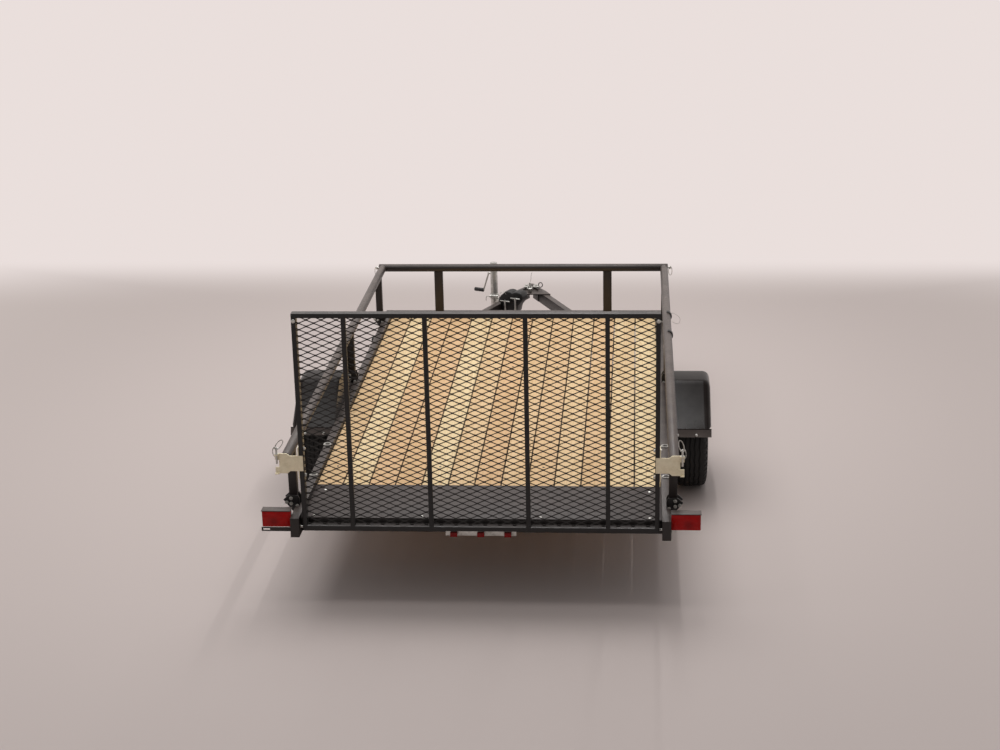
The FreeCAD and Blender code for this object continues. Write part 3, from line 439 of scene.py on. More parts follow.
@dataclass(frozen=True)
class Bolt:
    """A bolt's head or a nut. Its outlines are shares of its height and its radius."""

    head: Head
    radius: float
    height: float
    dome_line: Outline = ((0, 0), (0, 1), (0.3, 1), (0.75, 0.74), (1, 0.3), (1, 0))
    washer_line: Outline = ((0, 0), (0, 1), (0.22, 1), (0.25, 0.9), (0.25, 0))
    hex_radius: float = 0.8
    hex_height: float = 0.6
    hex_ease: float = 0.12

    def pattern(self) -> Piece:
        """One head at the origin, pointing up."""
        return self.dome() if self.head is Head.DOME else self.hexagon()

    def round(self, line: Outline) -> Piece:
        """A round part of the head from its outline."""
        outline = [(rise * self.height, away * self.radius) for rise, away in line]
        return turned("bolt_pattern", outline, ORIGIN, UP, ROUND_STEPS)

    def dome(self) -> Piece:
        """The domed head."""
        return eased(self.round(self.dome_line), sharp=50)

    def hexagon(self) -> Piece:
        """The six-sided head on its washer.

        Returns:
            The head and the washer as one pattern.
        """
        washer_top = self.washer_line[-1][0] * self.height
        bpy.ops.mesh.primitive_circle_add(vertices=6, radius=self.radius * self.hex_radius, fill_type="NGON",
                                          location=(0, 0, washer_top))
        head = settle(bpy.context.object, "bolt_head")
        edit(head)
        rise = {"value": (0, 0, self.height * self.hex_height)}
        bpy.ops.mesh.extrude_region_move(TRANSFORM_OT_translate=rise)
        bpy.ops.mesh.inset(thickness=self.radius * self.hex_ease, depth=self.height * self.hex_ease)
        bpy.ops.mesh.select_all(action="SELECT")
        bpy.ops.mesh.normals_make_consistent(inside=False)
        leave()
        return eased(joined("bolt_pattern", [head, self.round(self.washer_line)]), sharp=35)

    def at(self, name: str, places: Sequence[Matrix]) -> Piece:
        """Heads at several places, as one piece."""
        return copied(name, self.pattern(), places)


# Finishes


def seen(red: float, green: float, blue: float) -> Colour:
    """A colour as it is seen, 0 to 255 a channel, in the linear numbers that a shader takes."""
    return tuple((channel / 255.0) ** 2.2 for channel in (red, green, blue))


class Mixing:
    """A tree of shader nodes while it is mixed: each method adds nodes and gives their output."""

    def __init__(self, tree: bpy.types.NodeTree) -> None:
        """Start with a tree.

        Args:
            tree: The node tree of a material or a world.
        """
        self.nodes = tree.nodes
        self.links = tree.links

    def add(self, kind: str, inputs: dict | None = None, **settings: object) -> bpy.types.Node:
        """Add a node.

        Args:
            kind: The node's type, without its first words.
            inputs: A number, colour or output for each input by name or number.
            **settings: The node's own options.

        Returns:
            The node.
        """
        node = self.nodes.new("ShaderNode" + kind)
        for key, setting in settings.items():
            setattr(node, key, setting)
        for key, feed in (inputs or {}).items():
            self.feed(node.inputs[key], feed)
        return node

    def feed(self, socket: Socket, feed: object) -> None:
        """Set an input, or link an output to it.

        Args:
            socket: The input.
            feed: A number, a colour or another node's output.
        """
        if isinstance(feed, Socket):
            self.links.new(feed, socket)
        else:
            socket.default_value = feed

    def split(self, vector: Socket) -> Sequence[Socket]:
        """The three parts of a vector."""
        return self.add("SeparateXYZ", {0: vector}).outputs

    def maths(self, work: str, first: object, second: object = 0.0) -> Socket:
        """One step of arithmetic."""
        return self.add("Math", {0: first, 1: second}, operation=work).outputs[0]

    def plus(self, first: object, second: object) -> Socket:
        """The sum of two values."""
        return self.maths("ADD", first, second)

    def minus(self, first: object, second: object) -> Socket:
        """The first value less the second."""
        return self.maths("SUBTRACT", first, second)

    def times(self, first: object, second: object) -> Socket:
        """The product of two values."""
        return self.maths("MULTIPLY", first, second)

    def largest(self, first: object, *others: object) -> Socket:
        """The largest of some values.

        Args:
            first: One of them.
            *others: The rest.

        Returns:
            The output that holds the largest.
        """
        for other in others:
            first = self.maths("MAXIMUM", first, other)
        return first

    def length(self, across: Socket, up: Socket) -> Socket:
        """The length of the slope of two values."""
        return self.maths("SQRT", self.plus(self.times(across, across), self.times(up, up)))

    def seen_ray(self) -> Socket:
        """Whether a ray comes from the camera, a shiny surface or a clear one."""
        path = self.add("LightPath").outputs
        return self.largest(path["Is Camera Ray"], path["Is Glossy Ray"], path["Is Transmission Ray"])


class Mixture(Mixing):
    """A material while it is mixed."""

    def __init__(self, name: str) -> None:
        """Start a material.

        Args:
            name: The material's name.
        """
        self.material = bpy.data.materials.new(name)
        self.material.use_nodes = True
        super().__init__(self.material.node_tree)
        self.shader = self.nodes["Principled BSDF"]
        self.place = self.add("TexCoord").outputs["Object"]

    def stretched(self, scale: Sequence[float], place: Socket | None = None) -> Socket:
        """Coordinates stretched along each axis."""
        return self.add("Mapping", {"Vector": place or self.place, "Scale": scale}).outputs[0]

    def noise(self, place: Socket, scale: float, detail: float = 3.0) -> Socket:
        """Cloudy noise from 0 to 1."""
        return self.add("TexNoise", {"Vector": place, "Scale": scale, "Detail": detail}).outputs[0]

    def between(self, share: Socket, low: float, high: float, start: float = 0.0, end: float = 1.0) -> Socket:
        """A value spread smoothly from one range to another, and kept inside it.

        Args:
            share: The value.
            low: Where its range starts.
            high: Where its range ends.
            start: What it becomes at the range's start.
            end: What it becomes at the range's end.

        Returns:
            The spread value.
        """
        node = self.add("MapRange", {0: share, 1: low, 2: high, 3: start, 4: end},
                        interpolation_type="SMOOTHSTEP")
        return node.outputs[0]

    def blend(self, share: Socket, first: object, second: object) -> Socket:
        """A colour between two."""
        colours = [(*colour, 1.0) if isinstance(colour, tuple) else colour for colour in (first, second)]
        return self.add("Mix", {0: share, 6: colours[0], 7: colours[1]}, data_type="RGBA").outputs[2]

    def bump(self, height: Socket, depth: float) -> None:
        """Raise the surface by a height, whose full step is a depth in metres."""
        node = self.add("Bump", {"Height": height, "Distance": depth, "Strength": 1.0})
        self.feed(self.shader.inputs["Normal"], node.outputs[0])

    def set(self, **feeds: object) -> None:
        """Set the shader's own inputs; an underscore stands for a space.

        Args:
            **feeds: A number, a colour or an output for each input.
        """
        for key, feed in feeds.items():
            if isinstance(feed, tuple):
                feed = (*feed, 1.0)
            self.feed(self.shader.inputs[key.replace("_", " ")], feed)


@dataclass(frozen=True)
class Finish:
    """A surface finish, made once and shared by the pieces that have it."""

    name: str
    slot: str

    def mix(self, mixture: Mixture) -> None:
        """Mix the finish."""
        raise NotImplementedError

    def material(self) -> bpy.types.Material:
        """The finish's material, mixed on first use.

        Returns:
            The material.
        """
        found = bpy.data.materials.get(self.name)
        if found is None:
            mixture = Mixture(self.name)
            self.mix(mixture)
            found = mixture.material
        return found


@dataclass(frozen=True)
class Paint(Finish):
    """Baked paint over steel, with a fine orange peel and a paler top: faces that look up are blended towards
    a paler colour, which stands partly for a dusting and partly for painted light, the overhead light that
    tops catch.
    """

    colour: Colour
    top_dust_and_light: Colour
    top_dust_and_light_share: float = 0.25
    rough: float = 0.42
    cloud_scale: float = 7.0
    sheen_scale: float = 90.0
    peel_scale: float = 700.0
    peel_depth: float = 0.00025

    def mix(self, mixture: Mixture) -> None:
        """Mix the paint.

        Args:
            mixture: The material to mix it in.
        """
        cloud = mixture.noise(mixture.place, self.cloud_scale, 5.0)
        sheen = mixture.noise(mixture.place, self.sheen_scale, 4.0)
        # Painted top light: the more a face looks up, the more it is blended towards the paler colour, which
        # stands partly for a dusting and partly for the light from above that tops catch.
        upward = mixture.split(mixture.add("NewGeometry").outputs["Normal"])[2]
        dust_and_light_on_top = mixture.between(upward, 0.35, 0.95, 0.0, self.top_dust_and_light_share)
        patchy = mixture.times(dust_and_light_on_top, mixture.between(cloud, 0.3, 0.7, 0.45, 1.0))
        mixture.set(Base_Color=mixture.blend(patchy, self.colour, self.top_dust_and_light),
                    Roughness=mixture.between(sheen, 0.2, 0.8, self.rough - 0.06, self.rough + 0.1))
        mixture.bump(mixture.noise(mixture.place, self.peel_scale, 2.0), self.peel_depth)


@dataclass(frozen=True)
class Plated(Finish):
    """Zinc plating with a faint spangle, rubbed duller in places."""

    colour: Colour
    shade: Colour
    rough: float = 0.36
    spangle_scale: float = 160.0
    spangle: float = 0.35
    cloud_scale: float = 35.0
    grain_scale: float = 400.0
    grain_depth: float = 0.0001

    def mix(self, mixture: Mixture) -> None:
        """Mix the plating.

        Args:
            mixture: The material to mix it in.
        """
        cells = mixture.add("TexVoronoi", {"Vector": mixture.place, "Scale": self.spangle_scale})
        cloud = mixture.noise(mixture.place, self.cloud_scale, 4.0)
        share = mixture.times(mixture.split(cells.outputs["Color"])[0], self.spangle)
        share = mixture.plus(share, mixture.between(cloud, 0.35, 0.75, 0.0, 0.5))
        mixture.set(Base_Color=mixture.blend(share, self.colour, self.shade), Metallic=0.85,
                    Roughness=mixture.between(cloud, 0.3, 0.7, self.rough - 0.08, self.rough + 0.14))
        mixture.bump(mixture.noise(mixture.place, self.grain_scale, 2.0), self.grain_depth)


@dataclass(frozen=True)
class Moulded(Finish):
    """Moulded plastic, from glossy to matt, with a fine grain."""

    colour: Colour
    rough: float
    grain_depth: float = 0.0001
    shine: float = 0.5
    cloud_scale: float = 12.0
    grain_scale: float = 900.0

    def mix(self, mixture: Mixture) -> None:
        """Mix the plastic.

        Args:
            mixture: The material to mix it in.
        """
        cloud = mixture.noise(mixture.place, self.cloud_scale, 4.0)
        lighter = tuple(channel * 1.5 + 0.004 for channel in self.colour)
        mixture.set(Base_Color=mixture.blend(mixture.between(cloud, 0.35, 0.8), self.colour, lighter),
                    Roughness=mixture.between(cloud, 0.2, 0.8, self.rough * 0.8, self.rough * 1.25),
                    Specular_IOR_Level=self.shine)
        mixture.bump(mixture.noise(mixture.place, self.grain_scale, 2.0), self.grain_depth)


@dataclass(frozen=True)
class Rubber(Finish):
    """Tyre rubber: matt, with a grey, dusted bloom in patches."""

    colour: Colour
    bloom: Colour
    cloud_scale: float = 14.0
    grain_scale: float = 500.0
    grain_depth: float = 0.0002

    def mix(self, mixture: Mixture) -> None:
        """Mix the rubber.

        Args:
            mixture: The material to mix it in.
        """
        cloud = mixture.noise(mixture.place, self.cloud_scale, 5.0)
        bloomed = mixture.between(cloud, 0.3, 0.75, 0.0, 0.6)
        mixture.set(Base_Color=mixture.blend(bloomed, self.colour, self.bloom),
                    Roughness=mixture.between(cloud, 0.2, 0.8, 0.62, 0.85))
        mixture.bump(mixture.noise(mixture.place, self.grain_scale, 3.0), self.grain_depth)


@dataclass(frozen=True)
class Lens(Finish):
    """A ribbed lamp lens, glossy, with painted shade: a darker round patch stands for the chamber behind it,
    lying in shade.
    """

    colour: Colour
    deep_tone_and_chamber_shade: Colour
    chambers: Outline = ()
    chamber: float = 0.027
    rib: float = 0.0045
    rib_depth: float = 0.0003
    cloud_scale: float = 60.0

    def mix(self, mixture: Mixture) -> None:
        """Mix the lens.

        Args:
            mixture: The material to mix it in.
        """
        axes = mixture.split(mixture.place)
        across, height = axes[0], axes[2]
        inside: object = 0.0
        # Painted shade: round each chamber's middle the lens is blended towards the deep colour, as if the
        # chamber behind it lay in shade; the cloud below adds a random deeper tone.
        for middle_x, middle_z in self.chambers:
            aside = mixture.minus(mixture.maths("ABSOLUTE", across), middle_x)
            away = mixture.length(aside, mixture.minus(height, middle_z))
            chamber_shade = mixture.between(away, self.chamber * 0.2, self.chamber * 1.5, 0.6, 0.0)
            inside = mixture.largest(inside, chamber_shade)
        cloud = mixture.noise(mixture.place, self.cloud_scale, 3.0)
        share = mixture.largest(inside, mixture.between(cloud, 0.3, 0.8, 0.0, 0.35))
        mixture.set(Base_Color=mixture.blend(share, self.colour, self.deep_tone_and_chamber_shade), Roughness=0.16,
                    Specular_IOR_Level=0.2)
        mixture.bump(mixture.maths("SINE", mixture.times(across, math.tau / self.rib)), self.rib_depth)


@dataclass(frozen=True)
class Timber(Finish):
    """Pine boards: each board has its own tone and rings, with a few knots, and painted shade that darkens
    each board towards its edges at the seams.
    """

    first_edge: float
    pitch: float
    pale: Colour
    warm: Colour
    ring: Colour
    knot: Colour
    seam_shade: Colour
    seam: float = 0.458
    ring_gap: float = 0.0075
    board_shift: float = 5.37
    knot_cells: Colour = (3.6, 2.3, 0.5)
    heart_drift: Colour = (0.5, 0.42, 0.5)
    ripple_scale: Colour = (14.0, 2.6, 14.0)
    fibre_scale: Colour = (330.0, 7.0, 330.0)
    cloud_scale: Colour = (6.0, 1.1, 6.0)
    depth: float = 0.0005

    def mix(self, mixture: Mixture) -> None:
        """Mix the wood.

        Args:
            mixture: The material to mix it in.
        """
        across, along, up = mixture.split(mixture.place)
        boards = mixture.maths("DIVIDE", mixture.minus(across, self.first_edge), self.pitch)
        board, inside = mixture.maths("FLOOR", boards), mixture.maths("FRACT", boards)
        dice = mixture.add("TexWhiteNoise", {"W": board}, noise_dimensions="1D").outputs
        own_along = mixture.plus(along, mixture.times(board, self.board_shift))
        own = mixture.add("CombineXYZ", {0: across, 1: own_along, 2: up}).outputs[0]
        near, knot = self.knots(mixture, own)
        heart = mixture.between(mixture.split(dice["Color"])[1], 0.0, 1.0, 0.2, 0.8)
        late = self.late_wood(mixture, own, mixture.minus(inside, heart), dice["Value"], near)
        fibre = mixture.noise(mixture.stretched(self.fibre_scale, own), 1.0, 4.0)
        cloud = mixture.noise(mixture.stretched(self.cloud_scale, own), 1.0, 4.0)
        # Painted shade: how far a point lies from its board's middle; the last blend below darkens the board
        # towards the seams, where the gaps lie in shade.
        edge = mixture.maths("ABSOLUTE", mixture.minus(inside, 0.5))

        base = mixture.blend(mixture.between(dice["Value"], 0.1, 0.9), self.pale, self.warm)
        for share, colour in ((mixture.between(cloud, 0.35, 0.8, 0.0, 0.45), self.ring),
                              (mixture.times(late, 0.5), self.ring),
                              (mixture.between(fibre, 0.52, 0.8, 0.0, 0.45), self.ring),
                              (mixture.times(near, 0.35), self.ring),
                              (mixture.times(knot, 0.9), self.knot),
                              (mixture.between(edge, self.seam, 0.49, 0.0, 0.9), self.seam_shade)):
            base = mixture.blend(share, base, colour)
        mixture.set(Base_Color=base, Roughness=mixture.between(fibre, 0.2, 0.8, 0.58, 0.8),
                    Specular_IOR_Level=0.3)
        mixture.bump(mixture.plus(fibre, mixture.times(late, 0.6)), self.depth)

    def knots(self, mixture: Mixture, own: Socket) -> tuple[Socket, Socket]:
        """The knots, which a few cells of a loose grid hold.

        Args:
            mixture: The material that is mixed.
            own: The board's own coordinates.

        Returns:
            The wood round each knot, and the knot itself.
        """
        cells = mixture.add("TexVoronoi", {"Vector": mixture.stretched(self.knot_cells, own), "Scale": 1.0})
        lucky = mixture.between(mixture.split(cells.outputs["Color"])[0], 0.86, 0.88)
        away = cells.outputs["Distance"]
        near = mixture.times(lucky, mixture.between(away, 0.02, 0.2, 1.0, 0.0))
        return near, mixture.times(lucky, mixture.between(away, 0.025, 0.06, 1.0, 0.0))

    def late_wood(self, mixture: Mixture, own: Socket, off_heart: Socket, tone: Socket,
                  near: Socket) -> Socket:
        """The dark half of the growth rings: circles about a heart that wanders slowly under each board.

        Args:
            mixture: The material that is mixed.
            own: The board's own coordinates.
            off_heart: How far off its heart a point lies, as a share of the board.
            tone: The board's own random number.
            near: The wood round the knots, which bends the rings.

        Returns:
            How late the wood is, from 0 to 1.
        """
        side = mixture.times(off_heart, self.pitch)
        wander = mixture.noise(mixture.stretched(self.heart_drift, own), 1.0, 1.0)
        depth = mixture.plus(mixture.times(wander, 0.11), mixture.times(tone, 0.03))
        ripple = mixture.noise(mixture.stretched(self.ripple_scale, own), 1.0, 3.0)
        reach = mixture.plus(mixture.length(side, depth), mixture.times(ripple, 0.006))
        reach = mixture.plus(reach, mixture.times(near, 0.02))
        phase = mixture.maths("FRACT", mixture.maths("DIVIDE", reach, self.ring_gap))
        return mixture.between(mixture.times(phase, phase), 0.15, 1.0)


FRAME_PAINT = Paint("frame_paint", "frame_black", seen(36, 30, 28), seen(124, 110, 103), 0.34)
GATE_PAINT = Paint("gate_paint", "frame_black", seen(20, 18, 18), seen(104, 96, 93), 0.42, 0.4)
RAIL_PAINT = Paint("rail_paint", "frame_black", seen(48, 40, 37), seen(128, 114, 106), 0.38, 0.4)
PLATE_PAINT = Paint("deck_plate_paint", "frame_black", seen(50, 42, 40), seen(76, 66, 62), 0.5, 0.52)
MESH_PAINT = Paint("mesh_paint", "frame_black", seen(28, 22, 18), seen(64, 56, 50), 0.15, 0.5)
AXLE_PAINT = Paint("axle_paint", "axle_black", seen(30, 29, 29), seen(84, 78, 74), 0.25, 0.5)
WHEEL_PAINT = Paint("wheel_paint", "wheel_silver", seen(176, 178, 180), seen(196, 194, 190), 0.2, 0.34)
HUB_PAINT = Paint("hub_paint", "hub_grey", seen(112, 112, 114), seen(150, 146, 142), 0.2, 0.5)
ZINC = Plated("zinc_plate", "zinc", seen(214, 213, 208), seen(160, 158, 152))
DULL_ZINC = Plated("dull_zinc_plate", "zinc", seen(124, 116, 108), seen(92, 82, 72), 0.55)
YELLOW_ZINC = Plated("yellow_zinc_plate", "zinc", seen(238, 229, 202), seen(224, 214, 186), 0.5)
FENDER_PLASTIC = Moulded("fender_plastic", "fender_black", seen(27, 22, 20), 0.2, 0.00002, 0.09)
# Painted highlight: a paler plastic for the fenders' end flanges, which stands for the light that they catch.
FLANGE_HIGHLIGHT_PLASTIC = Moulded("flange_highlight_plastic", "fender_black", seen(82, 74, 70), 0.5)
BLACK_PLASTIC = Moulded("black_plastic", "moulded_black", seen(26, 25, 25), 0.45)
TYRE_RUBBER = Rubber("tyre_rubber_black", "tyre_rubber", seen(24, 24, 24), seen(48, 45, 43))
BAR_LENS = Lens("bar_lens_red", "lens_red", seen(136, 20, 18), seen(84, 8, 10))


def deliver(piece: Piece, finish: Finish, body: str, *nodes: str) -> Piece:
    """Give a piece its finish, set it on its body and report it.

    Args:
        piece: The finished mesh.
        finish: Its surface, unless its faces have theirs already.
        body: The body that it moves with.
        *nodes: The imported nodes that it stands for.

    Returns:
        The same piece.
    """
    if not piece.data.materials:
        piece.data.materials.append(finish.material())
    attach(piece, body)
    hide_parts(*nodes)
    LOG.info("%s: %d faces, rides on %s", piece.name, len(piece.data.polygons), body)
    return piece


def dress(node: str, finish: Finish, body: str, edge: float = 0.0) -> Piece:
    """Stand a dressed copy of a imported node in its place."""
    return deliver(from_node(node, edge), finish, body, node)


def two_toned(piece: Piece, first: Finish, second: Finish, test: Callable[[Vector], bool]) -> Piece:
    """Give a piece two finishes.

    Args:
        piece: The piece.
        first: The finish of most faces.
        second: The finish of the others.
        test: Says by a face's middle whether it has the second finish.

    Returns:
        The same piece.
    """
    for finish in (first, second):
        piece.data.materials.append(finish.material())
    for face in piece.data.polygons:
        face.material_index = int(test(face.center))
    return piece


# The trailer's sub-assemblies


@dataclass
class Chassis:
    """The welded frame: rails, cross tubes and the angles under the boards."""

    edge: float = 0.003
    ring_radius: float = 0.019
    ring_wire: float = 0.0035
    ring_places: tuple[float, ...] = (-1.76, -1.304)
    strap_from: float = -0.016
    strap_to: float = -0.008
    strap_half: float = 0.006

    def build(self) -> None:
        """Dress the frame and hang its tie-down rings."""
        for side in Side:
            dress(f"frame_rail_{side.word}", FRAME_PAINT, "chassis", self.edge)
        for node in ("front_cross_tube", "rear_cross_tube"):
            dress(node, FRAME_PAINT, "chassis", self.edge)
        dress("cross_angles", FRAME_PAINT, "chassis", SHEET_EDGE)
        deliver(self.rings(), ZINC, "chassis")

    def rings(self) -> Piece:
        """The zinc rings that lie on the rails' tops beside the boards.

        Returns:
            The rings and their straps.
        """
        section = [(self.ring_wire * math.sin(turn), self.ring_radius + self.ring_wire * math.cos(turn))
                   for turn in (math.tau * step / 6 for step in range(6))]
        hoop = turned("ring_pattern", section, (0, 0, self.ring_wire), UP, 18)
        strap = block("ring_strap", (self.strap_from, -self.strap_half, 0),
                      (self.strap_to, self.strap_half, 2.4 * self.ring_wire))
        pattern = eased(joined("ring_pattern", [hoop, eased(strap, 0.001)]))
        low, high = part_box("frame_rail_right")
        inner = low.x + self.ring_radius + 2 * self.ring_wire
        places = [Matrix.Translation((side.value * inner, along, high.z))
                  for side in Side for along in self.ring_places]
        return copied("tie_rings", pattern, places)


@dataclass
class Deck:
    """The load bed: pine boards and the steel plate behind them."""

    boards: int = 13
    gap: float = 0.004
    rounding: float = 0.003
    shrink: float = 0.0012
    plate_bolt: Bolt = Bolt(Head.DOME, 0.0085, 0.004)
    plate_rear: float = 0.024
    plate_rear_across: tuple[float, ...] = (-0.85, -0.3, 0.3, 0.85)
    plate_front: float = 0.074
    plate_front_across: tuple[float, ...] = (-0.85, 0.85)
    screw: Bolt = Bolt(Head.DOME, 0.0065, 0.004)
    screw_front: float = 0.028
    screw_rows: tuple[float, ...] = (0.18, -1.56)
    seed: int = 13

    def build(self) -> None:
        """Lay the boards and the plate, and bolt them down."""
        low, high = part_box("deck_planks")
        pitch = (high.x - low.x + self.gap) / self.boards
        pine = Timber("pine_boards", "deck_wood", first_edge=low.x - self.gap / 2, pitch=pitch,
                      pale=seen(238, 213, 168), warm=seen(224, 184, 140), ring=seen(206, 168, 120),
                      knot=seen(122, 80, 50), seam_shade=seen(64, 46, 34))
        deliver(self.laid(low, high, pitch), pine, "chassis", "deck_planks")
        dress("rear_deck_plate", PLATE_PAINT, "chassis", SHEET_EDGE)
        deliver(self.screws(low, high, pitch), DULL_ZINC, "chassis")
        deliver(self.bolts(), ZINC, "chassis")

    def laid(self, low: Vector, high: Vector, pitch: float) -> Piece:
        """The boards side by side, each a little narrower than its place.

        Args:
            low: The low corner of them all.
            high: The high corner of them all.
            pitch: From one board's edge to the next one's.

        Returns:
            All the boards as one piece.
        """
        width = pitch - self.gap
        pattern = block("board_pattern", (0, low.y, low.z), (width, high.y, high.z))
        edit(pattern)
        pick_faces(pattern, facing(UP))
        bpy.ops.mesh.bevel(offset=self.rounding, segments=3, affect="EDGES")
        leave()
        eased(pattern, sharp=30)
        draws = random.Random(self.seed)
        places = []
        for number in range(self.boards):
            narrow = 1.0 - draws.uniform(0.0, self.shrink) / width
            slack = draws.uniform(0.0, 1.0 - narrow) * width
            start = Matrix.Translation((low.x + number * pitch + slack, 0, 0))
            places.append(start @ Matrix.Scale(narrow, 4, (1, 0, 0)))
        return copied("deck_boards", pattern, places)

    def screws(self, low: Vector, high: Vector, pitch: float) -> Piece:
        """The dull screw heads in rows across every other board.

        Args:
            low: The low corner of the boards.
            high: The high corner of the boards.
            pitch: From one board's edge to the next one's.

        Returns:
            The heads as one piece.
        """
        places = [towards((low.x + (number + 0.5) * pitch, along, high.z), UP)
                  for along in (high.y - self.screw_front, *self.screw_rows)
                  for number in range(0, self.boards, 2)]
        return self.screw.at("deck_screws", places)

    def bolts(self) -> Piece:
        """The round bolt heads in the plate.

        Returns:
            The heads as one piece.
        """
        low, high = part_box("rear_deck_plate")
        rows = ((low.y + self.plate_rear, self.plate_rear_across),
                (high.y - self.plate_front, self.plate_front_across))
        places = [towards((across, along, high.z), UP) for along, row in rows for across in row]
        return self.plate_bolt.at("deck_bolts", places)


@dataclass
class SideRails:
    """The round rails on their posts, with the bolted feet and the pins at the corners."""

    edge: float = 0.0025
    front_edge: float = 0.004
    pin_edge: float = 0.0004
    foot_bolt: Bolt = Bolt(Head.HEX, 0.0095, 0.007)
    foot_spots: Outline = ((0.976, 0.530), (0.976, 0.502), (0.999, 0.508), (0.945, 0.490))
    posts: tuple[float, ...] = (-2.165, -0.175, 1.1)
    post_half: float = 0.021
    foot_thick: float = 0.008
    bail_wire: float = 0.0021
    bail_half: tuple[float, float] = (0.012, 0.030)
    bail_out: float = 0.002
    bail_back: float = 0.008
    bail_drop: float = 0.022
    button_line: Outline = ((0, 0), (0, 0.0105), (0.005, 0.012), (0.009, 0.0095), (0.0105, 0))
    button_in: float = 0.004
    clip_places: tuple[float, ...] = (0.165, -0.234)
    clip_half: float = 0.019
    clip_wall: float = 0.0075
    clip_gap: float = 0.0003
    clip_taper: float = 0.6
    loop_wire: float = 0.0011
    loop_line: Outline = ((0.998, 0.82), (1.012, 0.817), (1.0236, 0.8104), (1.036, 0.801), (1.0454, 0.791),
                          (1.0499, 0.7754), (1.0464, 0.7586), (1.0329, 0.7495), (1.0149, 0.7547),
                          (1.0006, 0.7644))

    def build(self) -> None:
        """Dress the rails and posts and add their bolts, bails and clips."""
        for side in Side:
            dress(f"side_rail_{side.word}", RAIL_PAINT, "chassis", SMALL_EDGE)
            dress(f"rail_posts_{side.word}", FRAME_PAINT, "chassis", self.edge)
            dress(f"post_feet_{side.word}", GATE_PAINT, "chassis", SHEET_EDGE)
        dress("front_rail", FRAME_PAINT, "chassis", self.front_edge)
        dress("front_rail_posts", FRAME_PAINT, "chassis", self.edge)
        dress("corner_pins", ZINC, "chassis", self.pin_edge)
        deliver(self.foot_bolts(), ZINC, "chassis")
        deliver(self.bails(), ZINC, "chassis")
        deliver(self.clips(), BLACK_PLASTIC, "chassis")
        deliver(self.clip_loop(), ZINC, "chassis")

    def clips(self) -> Piece:
        """The black clips round the outer side of the right rail.

        Returns:
            The clips as one piece.
        """
        low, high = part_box("side_rail_right")
        radius = (high.x - low.x) / 2
        half, inner, outer = self.clip_half, radius + self.clip_gap, radius + self.clip_wall
        lip = radius + self.clip_wall * self.clip_taper
        flat = half * self.clip_taper
        line = ((-half, inner), (-half, lip), (-flat, outer), (flat, outer), (half, lip), (half, inner))
        pattern = turned("clip_pattern", line, ORIGIN, (0, 1, 0), ROUND_STEPS, math.pi)
        pattern.data.transform(Matrix.Rotation(self.outward(pattern), 4, "Y"))
        places = [Matrix.Translation(((low.x + high.x) / 2, along, (low.z + high.z) / 2))
                  for along in self.clip_places]
        return eased(copied("rail_clips", pattern, places), 0.001, sharp=50)

    @staticmethod
    def outward(pattern: Piece) -> float:
        """How far a half ring about +Y is turned to lie on the +X side."""
        middle = sum((point.co for point in pattern.data.vertices), Vector()) / len(pattern.data.vertices)
        return math.atan2(middle.z, middle.x)

    def clip_loop(self) -> Piece:
        """The thin wire loop that hangs from the forward clip."""
        points = [(across, self.clip_places[0], height) for across, height in self.loop_line]
        return eased(wire("clip_wire", points, self.loop_wire), sharp=70)

    def foot_bolts(self) -> Piece:
        """The hexagon heads behind and in front of each foot.

        Returns:
            The heads as one piece.
        """
        places = []
        for side in Side:
            for post in self.posts:
                for way in (-1, 1):
                    face = post + way * (self.post_half + self.foot_thick)
                    for across, height in self.foot_spots:
                        places.append(towards((side.value * across, face, height), (0, way, 0)))
        return self.foot_bolt.at("foot_bolt_heads", places)

    def bails(self) -> Piece:
        """The wire bails through the corner pins' heads.

        Returns:
            The bails and the pins' buttons as one piece.
        """
        low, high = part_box("corner_pins")
        along, height = (low.y + high.y) / 2, (low.z + high.z) / 2
        pieces = []
        for side in Side:
            centre = (side.value * (high.x + self.bail_out), along - self.bail_back, height - self.bail_drop)
            pieces.append(wire(f"bail_{side.word}", oval(centre, *self.bail_half), self.bail_wire))
            face = (side.value * (high.x - self.button_in), along, height)
            pieces.append(turned("pin_button", self.button_line, face, (side.value, 0, 0), ROUND_STEPS))
        return eased(joined("corner_bails", pieces), sharp=70)


